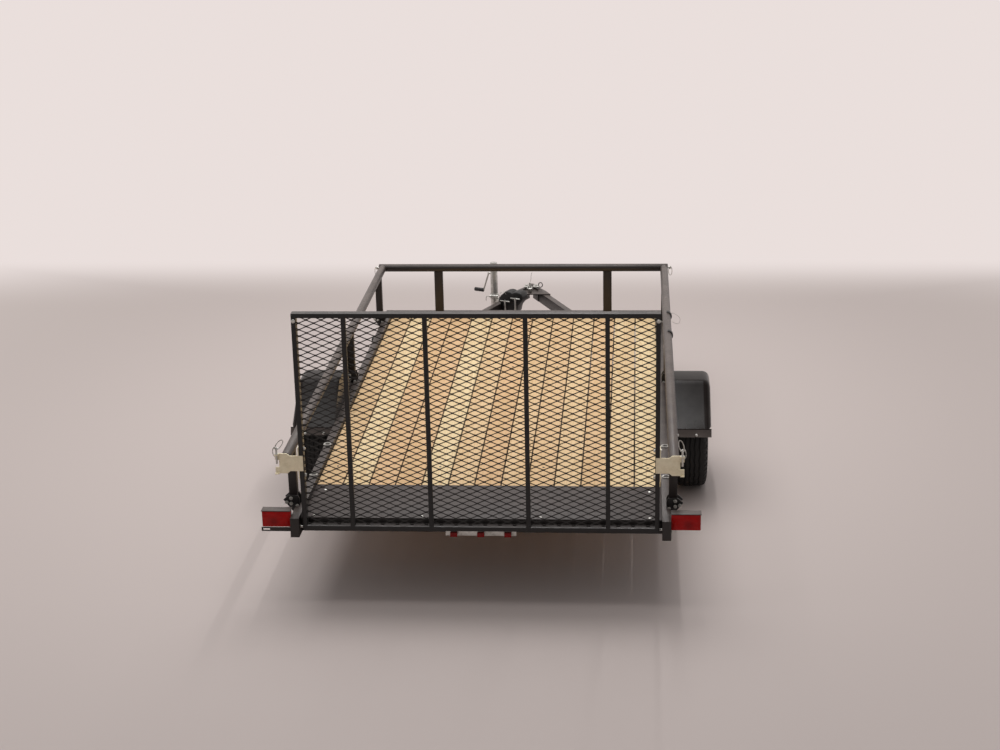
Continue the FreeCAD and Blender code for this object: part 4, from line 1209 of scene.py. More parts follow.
@dataclass
class RampGate:
    """The ramp gate: tube frame, uprights and expanded metal, with its latches."""

    long_way: float = 0.074
    short_way: float = 0.033
    strand: float = 0.0051
    thickness: float = 0.0018
    twist: float = math.radians(35)
    bond: float = 0.0036
    bend: Outline = ((0.09, 0.02), (0.11, 0.10), (0.60, 0.76), (0.11, 0.10), (0.09, 0.02))
    first_cell: tuple[float, float] = (0.35, 0.4)
    edge: float = 0.002
    pin_edge: float = 0.0005
    latch_bolt: Bolt = Bolt(Head.DOME, 0.0105, 0.006)
    latch_nut: Bolt = Bolt(Head.HEX, 0.010, 0.009)
    bolt_from_end: float = 0.014
    bolt_out: float = 0.005
    nut_in: float = 0.0225
    top_bolt_in: float = 0.011
    top_bolt_drop: float = 0.038
    top_bolt_sunk: float = 0.0004
    pin_axis_in: float = 0.009
    bail_back: float = 0.006
    bail_half: tuple[float, float] = (0.012, 0.031)
    bail_rise: float = 0.027
    bail_wire: float = 0.0025
    leans: dict[Side, float] = field(default_factory=lambda: {Side.LEFT: 38.0, Side.RIGHT: 14.0})
    spring_half: tuple[float, float] = (0.013, 0.026)
    spring_wire: float = 0.0023
    cross_radius: float = 0.0042

    def build(self) -> None:
        """Dress the gate and weave its mesh."""
        dress("gate_frame", GATE_PAINT, "gate", self.edge)
        deliver(self.expanded_metal(), MESH_PAINT, "gate", "gate_mesh")
        dress("gate_latch_plates", YELLOW_ZINC, "gate", SMALL_EDGE)
        dress("latch_pins", ZINC, "gate", self.pin_edge)
        dress("gate_hinge_pins", ZINC, "chassis", self.pin_edge)
        deliver(self.bolts(), ZINC, "gate")
        deliver(self.nuts(), ZINC, "gate")
        deliver(self.bails(), ZINC, "gate")

    def run(self, low: Vector, way: int) -> Piece:
        """One strand over a whole cell: from a bond across to the next row's and back.

        Args:
            low: The middle of its first end.
            way: 1 if it rises first, -1 if it falls first.

        Returns:
            The strand, open at both ends.
        """
        reach, rise = self.long_way / 2, self.short_way / 2 - self.bond
        bpy.ops.mesh.primitive_plane_add(size=1.0, location=low, rotation=(0, math.pi / 2, 0))
        strand = settle(bpy.context.object, "strand_pattern")
        edit(strand)
        bpy.ops.transform.resize(value=(1.0, self.thickness, self.strand), center_override=low)
        bpy.ops.transform.rotate(value=self.twist, orient_axis="X", center_override=low)
        for turn in (1, -1):
            for across, up in self.bend:
                step = (across * reach, 0, turn * way * up * rise)
                bpy.ops.mesh.extrude_region_move(TRANSFORM_OT_translate={"value": step})
        bpy.ops.mesh.select_all(action="SELECT")
        bpy.ops.mesh.normals_make_consistent(inside=False)
        pick_faces(strand, lambda middle, normal: abs(normal.x) > 0.999)
        bpy.ops.mesh.delete(type="ONLY_FACE")
        leave()
        return strand

    def expanded_metal(self) -> Piece:
        """The mesh, cut to the opening and set behind the uprights.

        Returns:
            The whole mesh.
        """
        low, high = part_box("gate_mesh")
        past_x, past_z = self.long_way * self.first_cell[0], self.short_way * self.first_cell[1]
        start = Vector((low.x - past_x, (low.y + high.y) / 2, low.z - past_z))
        half = Vector((0, 0, self.bond / 2))
        row = Vector((0, 0, self.short_way))
        cell = joined("gate_mesh_metal", [self.run(start + half, 1), self.run(start + row - half, -1)])
        across = math.ceil((high.x - start.x) / self.long_way)
        up = math.ceil((high.z - start.z) / self.short_way)
        for count, way in ((across, (self.long_way, 0, 0)), (up, (0, 0, self.short_way))):
            with_modifier(cell, "ARRAY", count=count, use_relative_offset=False, use_constant_offset=True,
                          constant_offset_displace=way, use_merge_vertices=True, merge_threshold=MERGE)
        edit(cell)
        for corner, way in ((low, (-1, 0, 0)), (high, (1, 0, 0)), (low, DOWN), (high, UP)):
            bpy.ops.mesh.select_all(action="SELECT")
            bpy.ops.mesh.bisect(plane_co=corner, plane_no=way, use_fill=True, clear_outer=True)
        leave()
        return eased(cell, sharp=30)

    def flange_places(self, out: float, way: int) -> list[Matrix]:
        """The places of the bolts or nuts that hold the latch plates' flanges.

        Args:
            out: How far they lie outside the gate's frame.
            way: 1 if they point outwards, -1 if they point inwards.

        Returns:
            Their places.
        """
        low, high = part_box("gate_latch_plates")
        frame_low, frame_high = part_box("gate_frame")
        middle = (frame_low.y + frame_high.y) / 2
        return [towards((side.value * (frame_high.x + out), middle, height), (side.value * way, 0, 0))
                for side in Side for height in (low.z + self.bolt_from_end, high.z - self.bolt_from_end)]

    def bolts(self) -> Piece:
        """The round bolts that hold the latch plates' flanges, and one near each stile's top.

        Returns:
            The bolts' heads as one piece.
        """
        low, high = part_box("gate_frame")
        across, height = high.x - self.top_bolt_in, high.z - self.top_bolt_drop
        tops = [towards((side.value * across, low.y + self.top_bolt_sunk, height), BACKWARDS)
                for side in Side]
        return self.latch_bolt.at("gate_bolts", self.flange_places(self.bolt_out, 1) + tops)

    def nuts(self) -> Piece:
        """The nuts of the latch plates' bolts, on the stiles' inner sides."""
        return self.latch_nut.at("gate_nuts", self.flange_places(-self.nut_in, -1))

    def bails(self) -> Piece:
        """The sprung bails of the latch pins, which stand up beside their heads.

        Returns:
            The bails, springs and cross pins as one piece.
        """
        low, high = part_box("latch_pins")
        middle = (low.y + high.y) / 2
        pieces = []
        for side in Side:
            way, axis = side.value, side.value * (high.x - self.pin_axis_in)
            bail = wire("latch_loop", oval((0, 0, self.bail_rise), *self.bail_half), self.bail_wire)
            lean = Matrix.Rotation(-way * math.radians(self.leans[side]), 4, "Y")
            bail.data.transform(Matrix.Translation((axis, middle - self.bail_back, high.z - 0.006)) @ lean)
            lower = (axis + way * 0.004, middle - self.bail_back, high.z - 0.022)
            across, up = self.spring_half
            spring = wire("latch_spring", oval(lower, way * across, up, -0.22, 0.5, 10), self.spring_wire)
            cross = rod("latch_cross", (axis - way * 0.012, middle, high.z - 0.007),
                        (axis + way * 0.014, middle, high.z - 0.004), self.cross_radius)
            pieces += [bail, spring, eased(cross)]
        return eased(joined("latch_bails", pieces), sharp=70)


@dataclass
class Wheel:
    """One wheel: ribbed tyre, silver rim with its nuts, and hub."""

    side: Side
    steps: int = 96
    bead_line: Outline = ((0.0657, 0.1656), (0.0657, 0.1782), (0.0715, 0.1802), (0.0785, 0.1865),
                          (0.0845, 0.1960), (0.0878, 0.2060), (0.0893, 0.2075), (0.0893, 0.2105))
    bulge_line: Outline = ((0.0012, 0.2150), (0, 0.2340), (0.0008, 0.2500))
    shoulder_line: Outline = ((0.0900, 0.2650), (0.0868, 0.2780), (0.0820, 0.2890), (0.0765, 0.2965))
    tread_line: Outline = ((0.0665, 0.0033), (0.0450, 0.0012), (0.0432, 0.0080), (0.0382, 0.0080),
                           (0.0364, 0.0009), (0.0172, 0.0002), (0.0154, 0.0075), (0.0108, 0.0075),
                           (0.0090, 0))
    notch: float = 0.0045
    notch_edge: float = 0.0014
    notch_band: tuple[float, float] = (0.068, 0.087)
    notch_from: float = 0.28
    zigzag: float = 0.0022
    zigzag_half: float = 0.047
    zigzag_depth: float = 0.02
    nut_circle: float = 0.05715
    nut_count: int = 5
    nut_line: Outline = ((0, 0), (0, 0.0105), (0.006, 0.0118), (0.013, 0.0118), (0.0165, 0.0075), (0.0165, 0))
    nut_turn: float = 0.3
    disc_out: float = 0.004
    valve_out: float = 0.045
    valve_up: float = 0.157
    valve_reach: tuple[float, float] = (0.03, -0.014)
    valve_radius: float = 0.004

    def build(self) -> None:
        """Build and dress the wheel."""
        body = f"wheel_{self.side.word}"
        deliver(self.tyre(), TYRE_RUBBER, body, f"tyre_{self.side.word}")
        dress(f"rim_{self.side.word}", WHEEL_PAINT, body, SMALL_EDGE)
        dress(f"hub_{self.side.word}", HUB_PAINT, body, SMALL_EDGE)
        deliver(self.nuts(), ZINC, body)
        deliver(self.valve(), BLACK_PLASTIC, body)

    def centre(self) -> Vector:
        """The middle of the wheel."""
        low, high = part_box(f"tyre_{self.side.word}")
        return (low + high) / 2

    def round_place(self, off: Vector) -> tuple[float, float, float]:
        """A point's place on the wheel.

        Args:
            off: The point, counted from the wheel's middle.

        Returns:
            How far it lies from the wheel's middle plane, how far from its axis, and its turn in steps.
        """
        turn = math.atan2(off.z, off.y) % math.tau
        return abs(off.x), math.hypot(off.y, off.z), turn / math.tau * self.steps

    def tyre(self) -> Piece:
        """The tyre, with four grooves, zigzag ribs and notched shoulders.

        Returns:
            The tyre.
        """
        low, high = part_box(f"tyre_{self.side.word}")
        radius, half = (high.z - low.z) / 2, (high.x - low.x) / 2
        bulge = [(half - inwards, away) for inwards, away in self.bulge_line]
        tread = [(along, radius - below) for along, below in self.tread_line]
        outward = [*self.bead_line, *bulge, *self.shoulder_line, *tread]
        outline = outward + [(-along, away) for along, away in reversed(outward)]
        centre = self.centre()
        piece = turned(f"tyre_{self.side.word}_rubber", outline, centre, (1, 0, 0), self.steps)
        self.wave(piece, centre, radius)

        def notched(middle: Vector, normal: Vector) -> bool:
            """Whether a face is one of every other step of the shoulders."""
            across, away, step = self.round_place(middle - centre)
            return (self.notch_band[0] < across < self.notch_band[1] and away > self.notch_from
                    and int(step) % 2 == 0)

        edit(piece)
        pick_faces(piece, notched)
        bpy.ops.mesh.inset(thickness=self.notch_edge, depth=-self.notch)
        leave()
        return eased(piece, sharp=42)

    def wave(self, piece: Piece, centre: Vector, radius: float) -> None:
        """Swing the grooves from side to side as they go round.

        Args:
            piece: The tyre.
            centre: Its middle.
            radius: Its outer radius.
        """
        for vertex in piece.data.vertices:
            across, away, step = self.round_place(vertex.co - centre)
            if across < self.zigzag_half and away > radius - self.zigzag_depth:
                vertex.co.x += self.zigzag * (1 if round(step) % 4 < 2 else -1)

    def nuts(self) -> Piece:
        """The wheel nuts on the disc.

        Returns:
            The nuts as one piece.
        """
        centre = self.centre() + Vector((self.side.value * self.disc_out, 0, 0))
        pattern = eased(turned("nut_pattern", self.nut_line, ORIGIN, UP, 6), sharp=25)
        places = []
        for number in range(self.nut_count):
            turn = math.tau * number / self.nut_count + self.nut_turn
            arm = Vector((0, self.nut_circle * math.cos(turn), self.nut_circle * math.sin(turn)))
            places.append(towards(centre + arm, (self.side.value, 0, 0)))
        return copied(f"wheel_nuts_{self.side.word}", pattern, places)

    def valve(self) -> Piece:
        """The valve stem on the rim's outer side.

        Returns:
            The stem.
        """
        start = self.centre() + Vector((self.side.value * self.valve_out, 0, self.valve_up))
        end = start + Vector((self.side.value * self.valve_reach[0], 0, self.valve_reach[1]))
        return eased(rod(f"valve_{self.side.word}", start, end, self.valve_radius), sharp=50)


@dataclass
class RunningGear:
    """The axle, springs, hangers and fenders."""

    edge: float = 0.002
    shoulder: float = 0.034
    shoulder_low: float = 0.462
    shoulder_long: float = 0.15
    shoulder_round: float = 0.009
    knee: tuple[float, float] = (0.084, 0.1035)
    knee_drop: float = 0.008
    knee_round: float = 0.028
    flange_strip: float = 0.010
    flange_way: tuple[float, float] = (0.914, 0.406)
    fender_edge: float = 0.0012
    fender_bolt: Bolt = Bolt(Head.DOME, 0.0085, 0.005)
    fender_bolt_across: tuple[float, ...] = (1.014, 1.12)
    fender_bolt_in: float = 0.0045
    fender_bolt_height: float = 0.436
    ubolt_wire: float = 0.006
    ubolt_in: float = 0.01
    ubolt_line: Outline = ((1, 0.197), (1, 0.305), (0.4, 0.313))
    ubolt_top: float = 0.315
    uplate_past: tuple[float, float] = (0.016, 0.004)
    uplate_heights: tuple[float, float] = (0.198, 0.204)
    uplate_edge: float = 0.0015

    def build(self) -> None:
        """Dress what carries the wheels and what covers them."""
        dress("axle", AXLE_PAINT, "chassis", self.edge)
        for side in Side:
            dress(f"leaf_spring_{side.word}", AXLE_PAINT, "chassis", SMALL_EDGE)
            dress(f"spring_hangers_{side.word}", FRAME_PAINT, "chassis", SMALL_EDGE)
            deliver(self.fender(side), FENDER_PLASTIC, "chassis", f"fender_{side.word}")
        deliver(self.fender_bolts(), ZINC, "chassis")
        deliver(self.u_bolts(), ZINC, "chassis")

    def fender(self, side: Side) -> Piece:
        """The moulded fender, with its bends and its outer shoulder rounded.

        Args:
            side: The side that it is on.

        Returns:
            The fender.
        """
        piece = from_node(f"fender_{side.word}")
        low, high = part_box(f"fender_{side.word}")
        middle, outer = (low.y + high.y) / 2, max(abs(low.x), abs(high.x))

        def on_shoulder(one: Vector, two: Vector) -> bool:
            """Whether an edge is one of the lengthwise edges of the outer shoulder."""
            lies = all(abs(point.x) > outer - self.shoulder - 0.001 and point.z > self.shoulder_low
                       for point in (one, two))
            return lies and abs(one.x - two.x) < 0.0004 and (one - two).length > self.shoulder_long

        def at_knee(one: Vector, two: Vector) -> bool:
            """Whether an edge lies across, where the top bends down to a sloping face."""
            lies = all(self.knee[0] < abs(point.y - middle) < self.knee[1]
                       and point.z > high.z - self.shoulder - self.knee_drop for point in (one, two))
            return lies and abs(one.y - two.y) < 0.008

        edit(piece)
        for test, offset, segments in ((on_shoulder, self.shoulder_round, 3), (at_knee, self.knee_round, 5)):
            pick_edges(piece, test)
            bpy.ops.mesh.bevel(offset=offset, segments=segments, affect="EDGES")
        leave()
        for vertex in piece.data.vertices:
            vertex.co.x = max(-outer, min(outer, vertex.co.x))
        strip = high.y - middle - self.flange_strip
        # Painted highlight: the flange strips at both ends take the paler plastic, for the light that they
        # catch.
        two_toned(piece, FENDER_PLASTIC, FLANGE_HIGHLIGHT_PLASTIC, lambda centre: abs(centre.y - middle) > strip)
        return eased(piece, self.fender_edge, 1, 48)

    def fender_bolts(self) -> Piece:
        """The bolts through the fenders' flanges.

        Returns:
            The heads as one piece.
        """
        low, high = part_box("fender_right")
        along, up = self.flange_way
        places = []
        for side in Side:
            for across in self.fender_bolt_across:
                for face, way in ((low.y + self.fender_bolt_in, -along),
                                  (high.y - self.fender_bolt_in, along)):
                    place = (side.value * across, face, self.fender_bolt_height)
                    places.append(towards(place, (0, way, up)))
        return self.fender_bolt.at("fender_bolts", places)

    def u_bolts(self) -> Piece:
        """The bolts that hold each spring down on the axle, with the plate under it.

        Returns:
            The bolts and plates as one piece.
        """
        pieces = []
        axle_low, axle_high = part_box("axle")
        past_x, past_y = self.uplate_past
        for side in Side:
            low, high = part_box(f"leaf_spring_{side.word}")
            for along in (axle_low.y + self.ubolt_in, axle_high.y - self.ubolt_in):
                one_leg = [(low.x - self.ubolt_wire * out, along, height) for out, height in self.ubolt_line]
                other_leg = [(high.x + self.ubolt_wire * out, along, height)
                             for out, height in reversed(self.ubolt_line)]
                points = [*one_leg, ((low.x + high.x) / 2, along, self.ubolt_top), *other_leg]
                pieces.append(wire("u_bolt", points, self.ubolt_wire * 0.8, 8))
            plate = block("u_plate", (low.x - past_x, axle_low.y - past_y, self.uplate_heights[0]),
                          (high.x + past_x, axle_high.y + past_y, self.uplate_heights[1]))
            pieces.append(eased(plate, self.uplate_edge))
        return eased(joined("spring_u_bolts", pieces), sharp=50)


@dataclass
class Coupling:
    """The tongue's arms and the coupler at their end, with its fittings."""

    edge: float = 0.004
    coupler_edge: float = 0.0012
    latch_edge: float = 0.0015
    turn: float = math.radians(24)
    web: float = 0.004
    web_reach: float = 0.105
    web_clear: float = 0.002
    web_lap: float = 0.004
    web_edge: float = 0.0006
    plates: Outline = ((-0.050, -0.016), (0.016, 0.062))
    plate_along: tuple[float, float] = (2.232, 2.290)
    plate_up: float = 0.007
    plate_step: tuple[float, float] = (0.005, 0.002)
    plate_edge: float = 0.0012
    plate_bolt: Bolt = Bolt(Head.HEX, 0.010, 0.008)
    plate_bolt_along: float = 2.258
    hook: Route = ((0.004, 2.228, 0.010), (-0.010, 2.222, 0.016), (-0.022, 2.212, 0.012),
                   (-0.025, 2.198, 0.004), (-0.016, 2.188, 0.004))
    hook_wire: float = 0.0035
    ferrule: Route = ((-0.010, 2.262, 0.004), (-0.008, 2.262, 0.030))
    ferrule_radius: float = 0.0075
    standing: Route = ((-0.008, 2.262, 0.026), (-0.003, 2.262, 0.045), (0.001, 2.262, 0.060),
                       (0.000, 2.262, 0.076), (0.004, 2.262, 0.094), (0.008, 2.262, 0.108))
    standing_wire: float = 0.0016
    ring: tuple[float, float, float] = (0.070, 2.262, 0.012)
    ring_half: tuple[float, float] = (0.015, 0.018)
    ring_wire: float = 0.0032

    def build(self) -> None:
        """Dress the arms and the coupler, and fit what is on its top."""
        for side in Side:
            dress(f"tongue_arm_{side.word}", FRAME_PAINT, "chassis", self.edge)
        dress("coupler", FRAME_PAINT, "chassis", self.coupler_edge)
        deliver(self.webs(), FRAME_PAINT, "chassis")
        dress("coupler_latch", ZINC, "chassis", self.latch_edge)
        deliver(self.fittings(), ZINC, "chassis")
        deliver(self.eye(), BLACK_PLASTIC, "chassis")

    def webs(self) -> Piece:
        """The two webs that close the coupler's inner sides, from the arms' ends to its ball socket.

        Returns:
            The webs as one piece.
        """
        low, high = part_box("coupler")
        arm_low, arm_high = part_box("tongue_arm_right")
        webs = []
        for side in Side:
            web = block("coupler_web", (-self.web / 2, 0, low.z + self.web_clear),
                        (self.web / 2, self.web_reach, high.z - self.web_clear))
            stepped(web, DOWN, (0.001, 0.0015))
            start = Matrix.Translation((side.value * arm_low.x, arm_high.y - self.web_lap, 0))
            web.data.transform(start @ Matrix.Rotation(side.value * self.turn, 4, "Z"))
            webs.append(web)
        return eased(joined("coupler_webs", webs), self.web_edge, 1)

    @staticmethod
    def on_top(route: Route) -> list[Vector]:
        """A route whose heights are counted from the coupler's top."""
        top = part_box("coupler")[1].z
        return [Vector((across, along, top + up)) for across, along, up in route]

    def fittings(self) -> Piece:
        """The plates, bolts, hook and upright safety wire on the coupler's top.

        Returns:
            The fittings as one piece.
        """
        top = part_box("coupler")[1].z
        rear, front = self.plate_along
        pieces = []
        for low_x, high_x in self.plates:
            plate = block("coupler_plate", (low_x, rear, top - 0.001), (high_x, front, top + self.plate_up))
            pieces.append(eased(stepped(plate, UP, self.plate_step), self.plate_edge))
            height = top + self.plate_up + self.plate_step[1]
            place = towards(((low_x + high_x) / 2, self.plate_bolt_along, height), UP)
            pieces.append(self.plate_bolt.at("coupler_bolt", [place]))
        pieces.append(wire("coupler_hook", self.on_top(self.hook), self.hook_wire))
        pieces.append(rod("wire_ferrule", *self.on_top(self.ferrule), self.ferrule_radius))
        pieces.append(wire("coupler_wire", self.on_top(self.standing), self.standing_wire))
        return eased(joined("coupler_fittings", pieces), sharp=45)

    def eye(self) -> Piece:
        """The black ring that stands beside the coupler's right plate."""
        centre = self.on_top((self.ring,))[0]
        return eased(wire("coupler_ring", oval(centre, *self.ring_half), self.ring_wire), sharp=70)


@dataclass
class Clamp:
    """The moulded clamp on the left arm, with its two screws."""

    turn: float = math.radians(24)
    edge: float = 0.009
    half_depth: float = 0.045
    foot: tuple[float, float] = (-0.0745, 0.048)
    line: Outline = ((-0.0745, 0.3895), (-0.092, 0.3925), (-0.094, 0.424), (-0.077, 0.446), (-0.058, 0.462),
                     (-0.042, 0.477), (-0.0165, 0.483), (0.008, 0.478), (0.018, 0.470), (0.030, 0.480),
                     (0.052, 0.484), (0.078, 0.481), (0.094, 0.468), (0.099, 0.446), (0.095, 0.422),
                     (0.080, 0.402), (0.062, 0.382), (0.054, 0.352))
    pad_line: Outline = ((0, 0), (0, 0.013), (0.004, 0.017), (0.012, 0.0165), (0.015, 0.010), (0.015, 0))
    pad_in: tuple[float, float] = (0.030, 0.0135)
    pad_height: float = 0.322
    wire_along: float = 1.862
    wire_line: Outline = ((-0.206, 0.425), (-0.205, 0.452), (-0.196, 0.472), (-0.181, 0.480),
                          (-0.167, 0.476), (-0.158, 0.458))
    wire_radius: float = 0.0016

    def build(self) -> None:
        """Mould the clamp and fit its screws."""
        deliver(self.body(), BLACK_PLASTIC, "chassis", "clamp_body")
        dress("clamp_screws", ZINC, "chassis", SMALL_EDGE)
        deliver(self.fittings(), ZINC, "chassis")

    def body(self) -> Piece:
        """The moulded body, whose two lobes lap over the arm's top.

        Returns:
            The body, turned square to the arm.
        """
        low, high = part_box("clamp_body")
        middle = (low + high) / 2
        outline = ((self.foot[0], low.z), *self.line, (self.foot[1], low.z))
        piece = traced("clamp_moulding", [(across, -self.half_depth, height) for across, height in outline])
        edit(piece)
        bpy.ops.mesh.edge_face_add()
        bpy.ops.mesh.extrude_region_move(TRANSFORM_OT_translate={"value": (0, 2 * self.half_depth, 0)})
        bpy.ops.mesh.select_all(action="SELECT")
        bpy.ops.mesh.normals_make_consistent(inside=False)
        leave()
        turned_in = Matrix.Rotation(-self.turn, 4, "Z")
        piece.data.transform(Matrix.Translation((middle.x, middle.y, 0)) @ turned_in)
        return eased(piece, self.edge, 3, 60)

    def fittings(self) -> Piece:
        """The swivelling foot of the taller screw, and the wire over the clamp's shoulder.

        Returns:
            The foot and the wire as one piece.
        """
        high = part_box("clamp_screws")[1]
        centre = (high.x - self.pad_in[0], high.y - self.pad_in[1], self.pad_height)
        pad = turned("clamp_pad", self.pad_line, centre, UP, 18)
        arc = [(across, self.wire_along, height) for across, height in self.wire_line]
        return eased(joined("clamp_fittings", [pad, wire("clamp_wire", arc, self.wire_radius)]), sharp=50)


@dataclass
class Jack:
    """The jack: its mount, swivelling tube, leg, crank and the plunger that locks its swivel."""

    tube_edge: float = 0.0015
    grip_height: float = 0.0285
    grip_reach: float = 0.058
    collar_line: Outline = ((0.398, 0.0002), (0.398, 0.004), (0.401, 0.006), (0.421, 0.006), (0.424, 0.004),
                            (0.424, 0.0002))
    plunger_out: float = 0.006
    plunger_height: float = 0.411
    pin: tuple[float, float] = (-0.020, 0.030)
    pin_radius: float = 0.0055
    knob: tuple[float, float] = (-0.030, -0.018)
    knob_radius: float = 0.010
    hook: Route = ((-0.311, 1.968, 0.382), (-0.311, 1.968, 0.402), (-0.307, 1.968, 0.413),
                   (-0.298, 1.968, 0.418), (-0.287, 1.970, 0.413), (-0.277, 1.974, 0.400),
                   (-0.268, 1.984, 0.394), (-0.262, 1.998, 0.392))
    hook_wire: float = 0.0026

    def build(self) -> None:
        """Dress the jack and fit its plunger."""
        dress("jack_mount", ZINC, "chassis", SHEET_EDGE)
        dress("jack_swivel_plate", ZINC, "jack", SHEET_EDGE)
        dress("jack_tube", ZINC, "jack", self.tube_edge)
        dress("jack_leg", ZINC, "jack_foot_leg", SHEET_EDGE)
        deliver(self.crank(), ZINC, "jack", "jack_crank")
        deliver(self.plunger(), ZINC, "jack")

    def crank(self) -> Piece:
        """The crank, with its black grip.

        Returns:
            The crank in its two finishes.
        """
        low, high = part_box("jack_crank")
        piece = from_node("jack_crank", SMALL_EDGE)
        return two_toned(piece, ZINC, BLACK_PLASTIC, lambda centre: centre.z < low.z + self.grip_height
                         and centre.x < high.x - self.grip_reach)

    def plunger(self) -> Piece:
        """The collar round the jack's tube with the plunger that locks its swivel, and the plunger's hook.

        Returns:
            The collar, pin, knob and hook as one piece.
        """
        low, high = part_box("jack_tube")
        middle = Vector(((low.x + high.x) / 2, (low.y + high.y) / 2, 0))
        radius = (high.x - low.x) / 2
        line = [(height, radius + out) for height, out in self.collar_line]
        pieces = [turned("jack_collar", line, middle, UP, 28)]
        for (start, end), thick in ((self.pin, self.pin_radius), (self.knob, self.knob_radius)):
            ends = [middle + Vector((across, -radius - self.plunger_out, self.plunger_height))
                    for across in (start, end)]
            pieces.append(rod("jack_plunger", *ends, thick))
        pieces.append(wire("jack_hook", self.hook, self.hook_wire))
        return eased(joined("jack_plunger", pieces), sharp=50)


@dataclass
class Lights:
    """The tail lamps in their guards, the bar of three lamps, and the side markers."""

    lens_depth: float = 0.02
    lens_steps: Outline = ((0.007, 0.0), (0.0015, 0.002))
    lens_edge: float = 0.0035
    chamber_off: tuple[float, float] = (0.014, -0.012)
    housing_in: float = 0.003
    housing_lap: float = 0.002
    housing_edge: float = 0.004
    lamp_edge: float = 0.002
    stud_in: float = 0.004
    stud_radius: float = 0.006
    stud_drop: float = 0.011
    lamp_line: Route = ((0, 0.006, 0.009), (0, 0.004, 0.030), (0.001, 0.003, 0.046), (0.001, 0.001, 0.060))
    lamp_wire: float = 0.0017
    foot_line: Route = ((-1.008, -2.192, 0.508), (-1.018, -2.205, 0.503), (-1.022, -2.228, 0.494),
                        (-1.021, -2.250, 0.498), (-1.016, -2.275, 0.514), (-1.014, -2.289, 0.5205))
    foot_wire: float = 0.0013

    def build(self) -> None:
        """Build the lamps."""
        low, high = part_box("tail_lamp_right")
        # Where the painted chamber shade sits on the tail lenses, a little off each lamp's middle.
        chamber = ((low.x + high.x) / 2 + self.chamber_off[0], (low.z + high.z) / 2 + self.chamber_off[1])
        red = Lens("tail_lens_red", "lens_red", seen(168, 12, 10), seen(100, 6, 6), (chamber,))
        for side in Side:
            node = f"tail_lamp_{side.word}"
            deliver(self.tail_lens(node), red, "chassis", node)
            deliver(self.housing(node), BLACK_PLASTIC, "chassis")
            dress(f"lamp_guard_{side.word}", RAIL_PAINT, "chassis", SHEET_EDGE)
        dress("bar_light", BAR_LENS, "chassis", self.lamp_edge)
        dress("bar_light_plate", ZINC, "chassis", SMALL_EDGE)
        dress("plate_bracket", FRAME_PAINT, "chassis", SHEET_EDGE)
        dress("marker_lamps", BLACK_PLASTIC, "chassis", self.lamp_edge)
        deliver(self.wires(), ZINC, "chassis")

    def wires(self) -> Piece:
        """The studs and thin wires under the tail lamps, and the wire beside the left rear foot.

        Returns:
            The studs and wires as one piece.
        """
        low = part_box("tail_lamp_right")[0]
        pieces = []
        for side in Side:
            inner = side.value * (low.x + self.stud_in)
            points = [(inner + side.value * out, low.y + ahead, low.z - drop)
                      for out, ahead, drop in self.lamp_line]
            along = points[0][1]
            pieces.append(rod("lamp_stud", (inner, along, low.z), (inner, along, low.z - self.stud_drop),
                              self.stud_radius))
            pieces.append(wire("lamp_wire", points, self.lamp_wire))
        pieces.append(wire("foot_wire", self.foot_line, self.foot_wire))
        return eased(joined("lamp_wires", pieces), sharp=60)

    def tail_lens(self, node: str) -> Piece:
        """The red lens: a stepped, rounded box with a raised field.

        Args:
            node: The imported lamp.

        Returns:
            The lens.
        """
        low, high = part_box(node)
        piece = block(node + "_lens", low, (high.x, low.y + self.lens_depth, high.z))
        return eased(stepped(piece, BACKWARDS, *self.lens_steps), self.lens_edge, 3, 60)

    def housing(self, node: str) -> Piece:
        """The black housing behind the lens.

        Args:
            node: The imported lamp.

        Returns:
            The housing.
        """
        low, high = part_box(node)
        inset = self.housing_in
        rear = low.y + self.lens_depth - self.housing_lap
        piece = block(node + "_housing", (low.x + inset, rear, low.z + inset),
                      (high.x - inset, high.y, high.z - inset))
        return eased(piece, self.housing_edge, 3)


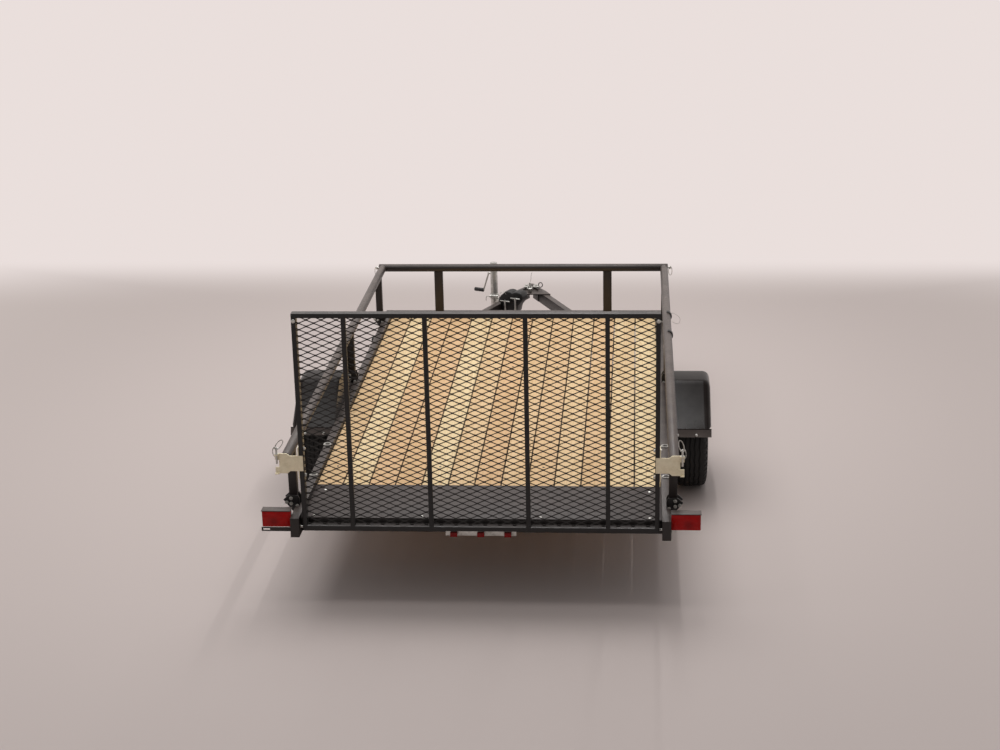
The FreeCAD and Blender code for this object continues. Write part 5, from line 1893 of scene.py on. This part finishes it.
@dataclass
class Studio:
    """The floor, the light and the camera."""

    floor_size: float = 120.0
    floor_near: float = 2.4
    floor_far: float = 6.0
    floor_base: Colour = seen(203, 190, 185)
    floor_colour: Colour = seen(200, 188, 183)
    wall_colour: Colour = seen(233, 222, 219)
    wall_from: float = 3.0
    wall_to: float = 4.6
    world_colour: Colour = (0.93, 0.92, 0.93)
    world_strength: float = 0.36
    sky_ramp: tuple[float, ...] = (-0.9, 0.4, 0.366, 1.0)
    sky_bright: float = 0.82
    warmth: Colour = (1.0, 0.93, 0.90)
    camera_place: tuple[float, float, float] = (0.77874, -10.67789, 4.01628)
    yaw: float = -0.07897
    pitch: float = 0.32002
    roll: float = 0.02202
    lens: float = 65.307
    sensor: float = 36.0

    def build(self) -> None:
        """Set the stage."""
        self.floor()
        self.sky()
        self.lamp("overhead", (-0.9, 0.5, 6.5), (6.0, 8.0), 325.0)
        self.lamp("strip", (0.9, 1.2, 5.2), (0.07, 5.0), 45.0)
        self.camera()

    def floor(self) -> None:
        """The plain pale floor, a little paler far away."""
        bpy.ops.mesh.primitive_plane_add(size=self.floor_size)
        ground = settle(bpy.context.object, "floor")
        edit(ground)
        bpy.ops.mesh.subdivide(number_cuts=3)
        leave()
        mixture = Mixture("floor_pale")
        mixture.set(Base_Color=self.floor_base, Roughness=0.6, Specular_IOR_Level=0.25)
        squeezed = mixture.stretched((1.0, 0.6, 1.0))
        away = mixture.add("VectorMath", {0: squeezed}, operation="LENGTH").outputs["Value"]
        ahead = mixture.between(mixture.split(mixture.place)[1], self.wall_from, self.wall_to)
        far = mixture.largest(mixture.between(away, self.floor_near, self.floor_far), ahead)
        glow = mixture.add("Emission", {"Color": mixture.blend(ahead, self.floor_colour, self.wall_colour)})
        share = mixture.times(far, mixture.seen_ray())
        shown = mixture.add("MixShader", {0: share, 1: mixture.shader.outputs[0], 2: glow.outputs[0]})
        mixture.feed(mixture.nodes["Material Output"].inputs["Surface"], shown.outputs[0])
        ground.data.materials.append(mixture.material)

    def sky(self) -> None:
        """A pale world that the camera and shiny surfaces see, and a dimmer one for the rest."""
        world = bpy.data.worlds.new("studio")
        world.use_nodes = True
        mixing = Mixing(world.node_tree)
        base = mixing.nodes["Background"]
        mixing.feed(base.inputs["Color"], (*self.world_colour, 1.0))
        mixing.feed(base.inputs["Strength"], self.world_strength)
        ahead = mixing.split(mixing.add("TexCoord").outputs["Generated"])[1]
        ramp = mixing.add("MapRange", {0: ahead, **dict(enumerate(self.sky_ramp, start=1))}).outputs[0]
        bright = mixing.largest(ramp, mixing.add("LightPath").outputs["Is Camera Ray"])
        tint = mixing.add("CombineColor", {number: mixing.times(bright, share * self.sky_bright)
                                           for number, share in enumerate(self.warmth)})
        shown = mixing.add("Background", {"Color": tint.outputs[0]})
        mixed = mixing.add("MixShader", {0: mixing.seen_ray(), 1: base.outputs[0], 2: shown.outputs[0]})
        mixing.feed(mixing.nodes["World Output"].inputs["Surface"], mixed.outputs[0])
        bpy.context.scene.world = world

    def lamp(self, name: str, place: Sequence[float], size: Sequence[float], power: float) -> None:
        """A flat lamp that faces down.

        Args:
            name: Its name.
            place: Where it hangs.
            size: Its width and its length.
            power: Its power in watts.
        """
        light = bpy.data.lights.new(name, "AREA")
        light.shape = "RECTANGLE"
        light.size, light.size_y = size
        light.energy = power
        lamp = bpy.data.objects.new(name, light)
        lamp.location = place
        bpy.context.collection.objects.link(lamp)

    def camera(self) -> None:
        """The camera, at the photograph's own place and angle."""
        yaw, pitch, roll = self.yaw, self.pitch, self.roll
        ahead = Vector((math.sin(yaw) * math.cos(pitch), math.cos(yaw) * math.cos(pitch), -math.sin(pitch)))
        level = Vector((math.cos(yaw), -math.sin(yaw), 0.0))
        down = ahead.cross(level)
        right = level * math.cos(roll) + down * math.sin(roll)
        below = down * math.cos(roll) - level * math.sin(roll)
        turn = Matrix((right, -below, -ahead)).transposed().to_4x4()
        lens = bpy.data.cameras.new("camera")
        lens.lens, lens.sensor_width = self.lens, self.sensor
        camera = bpy.data.objects.new("camera", lens)
        camera.matrix_world = Matrix.Translation(self.camera_place) @ turn
        bpy.context.collection.objects.link(camera)
        bpy.context.scene.camera = camera
        bpy.context.scene.view_settings.view_transform = "Standard"


def main() -> None:
    """Dress the whole trailer and light it."""
    logging.basicConfig(level=logging.INFO, format="%(message)s")
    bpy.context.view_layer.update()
    for part in (Chassis(), Deck(), SideRails(), RampGate(), Wheel(Side.LEFT), Wheel(Side.RIGHT),
                 RunningGear(), Coupling(), Clamp(), Jack(), Lights(), Studio()):
        part.build()


if __name__ == "__main__":
    main()
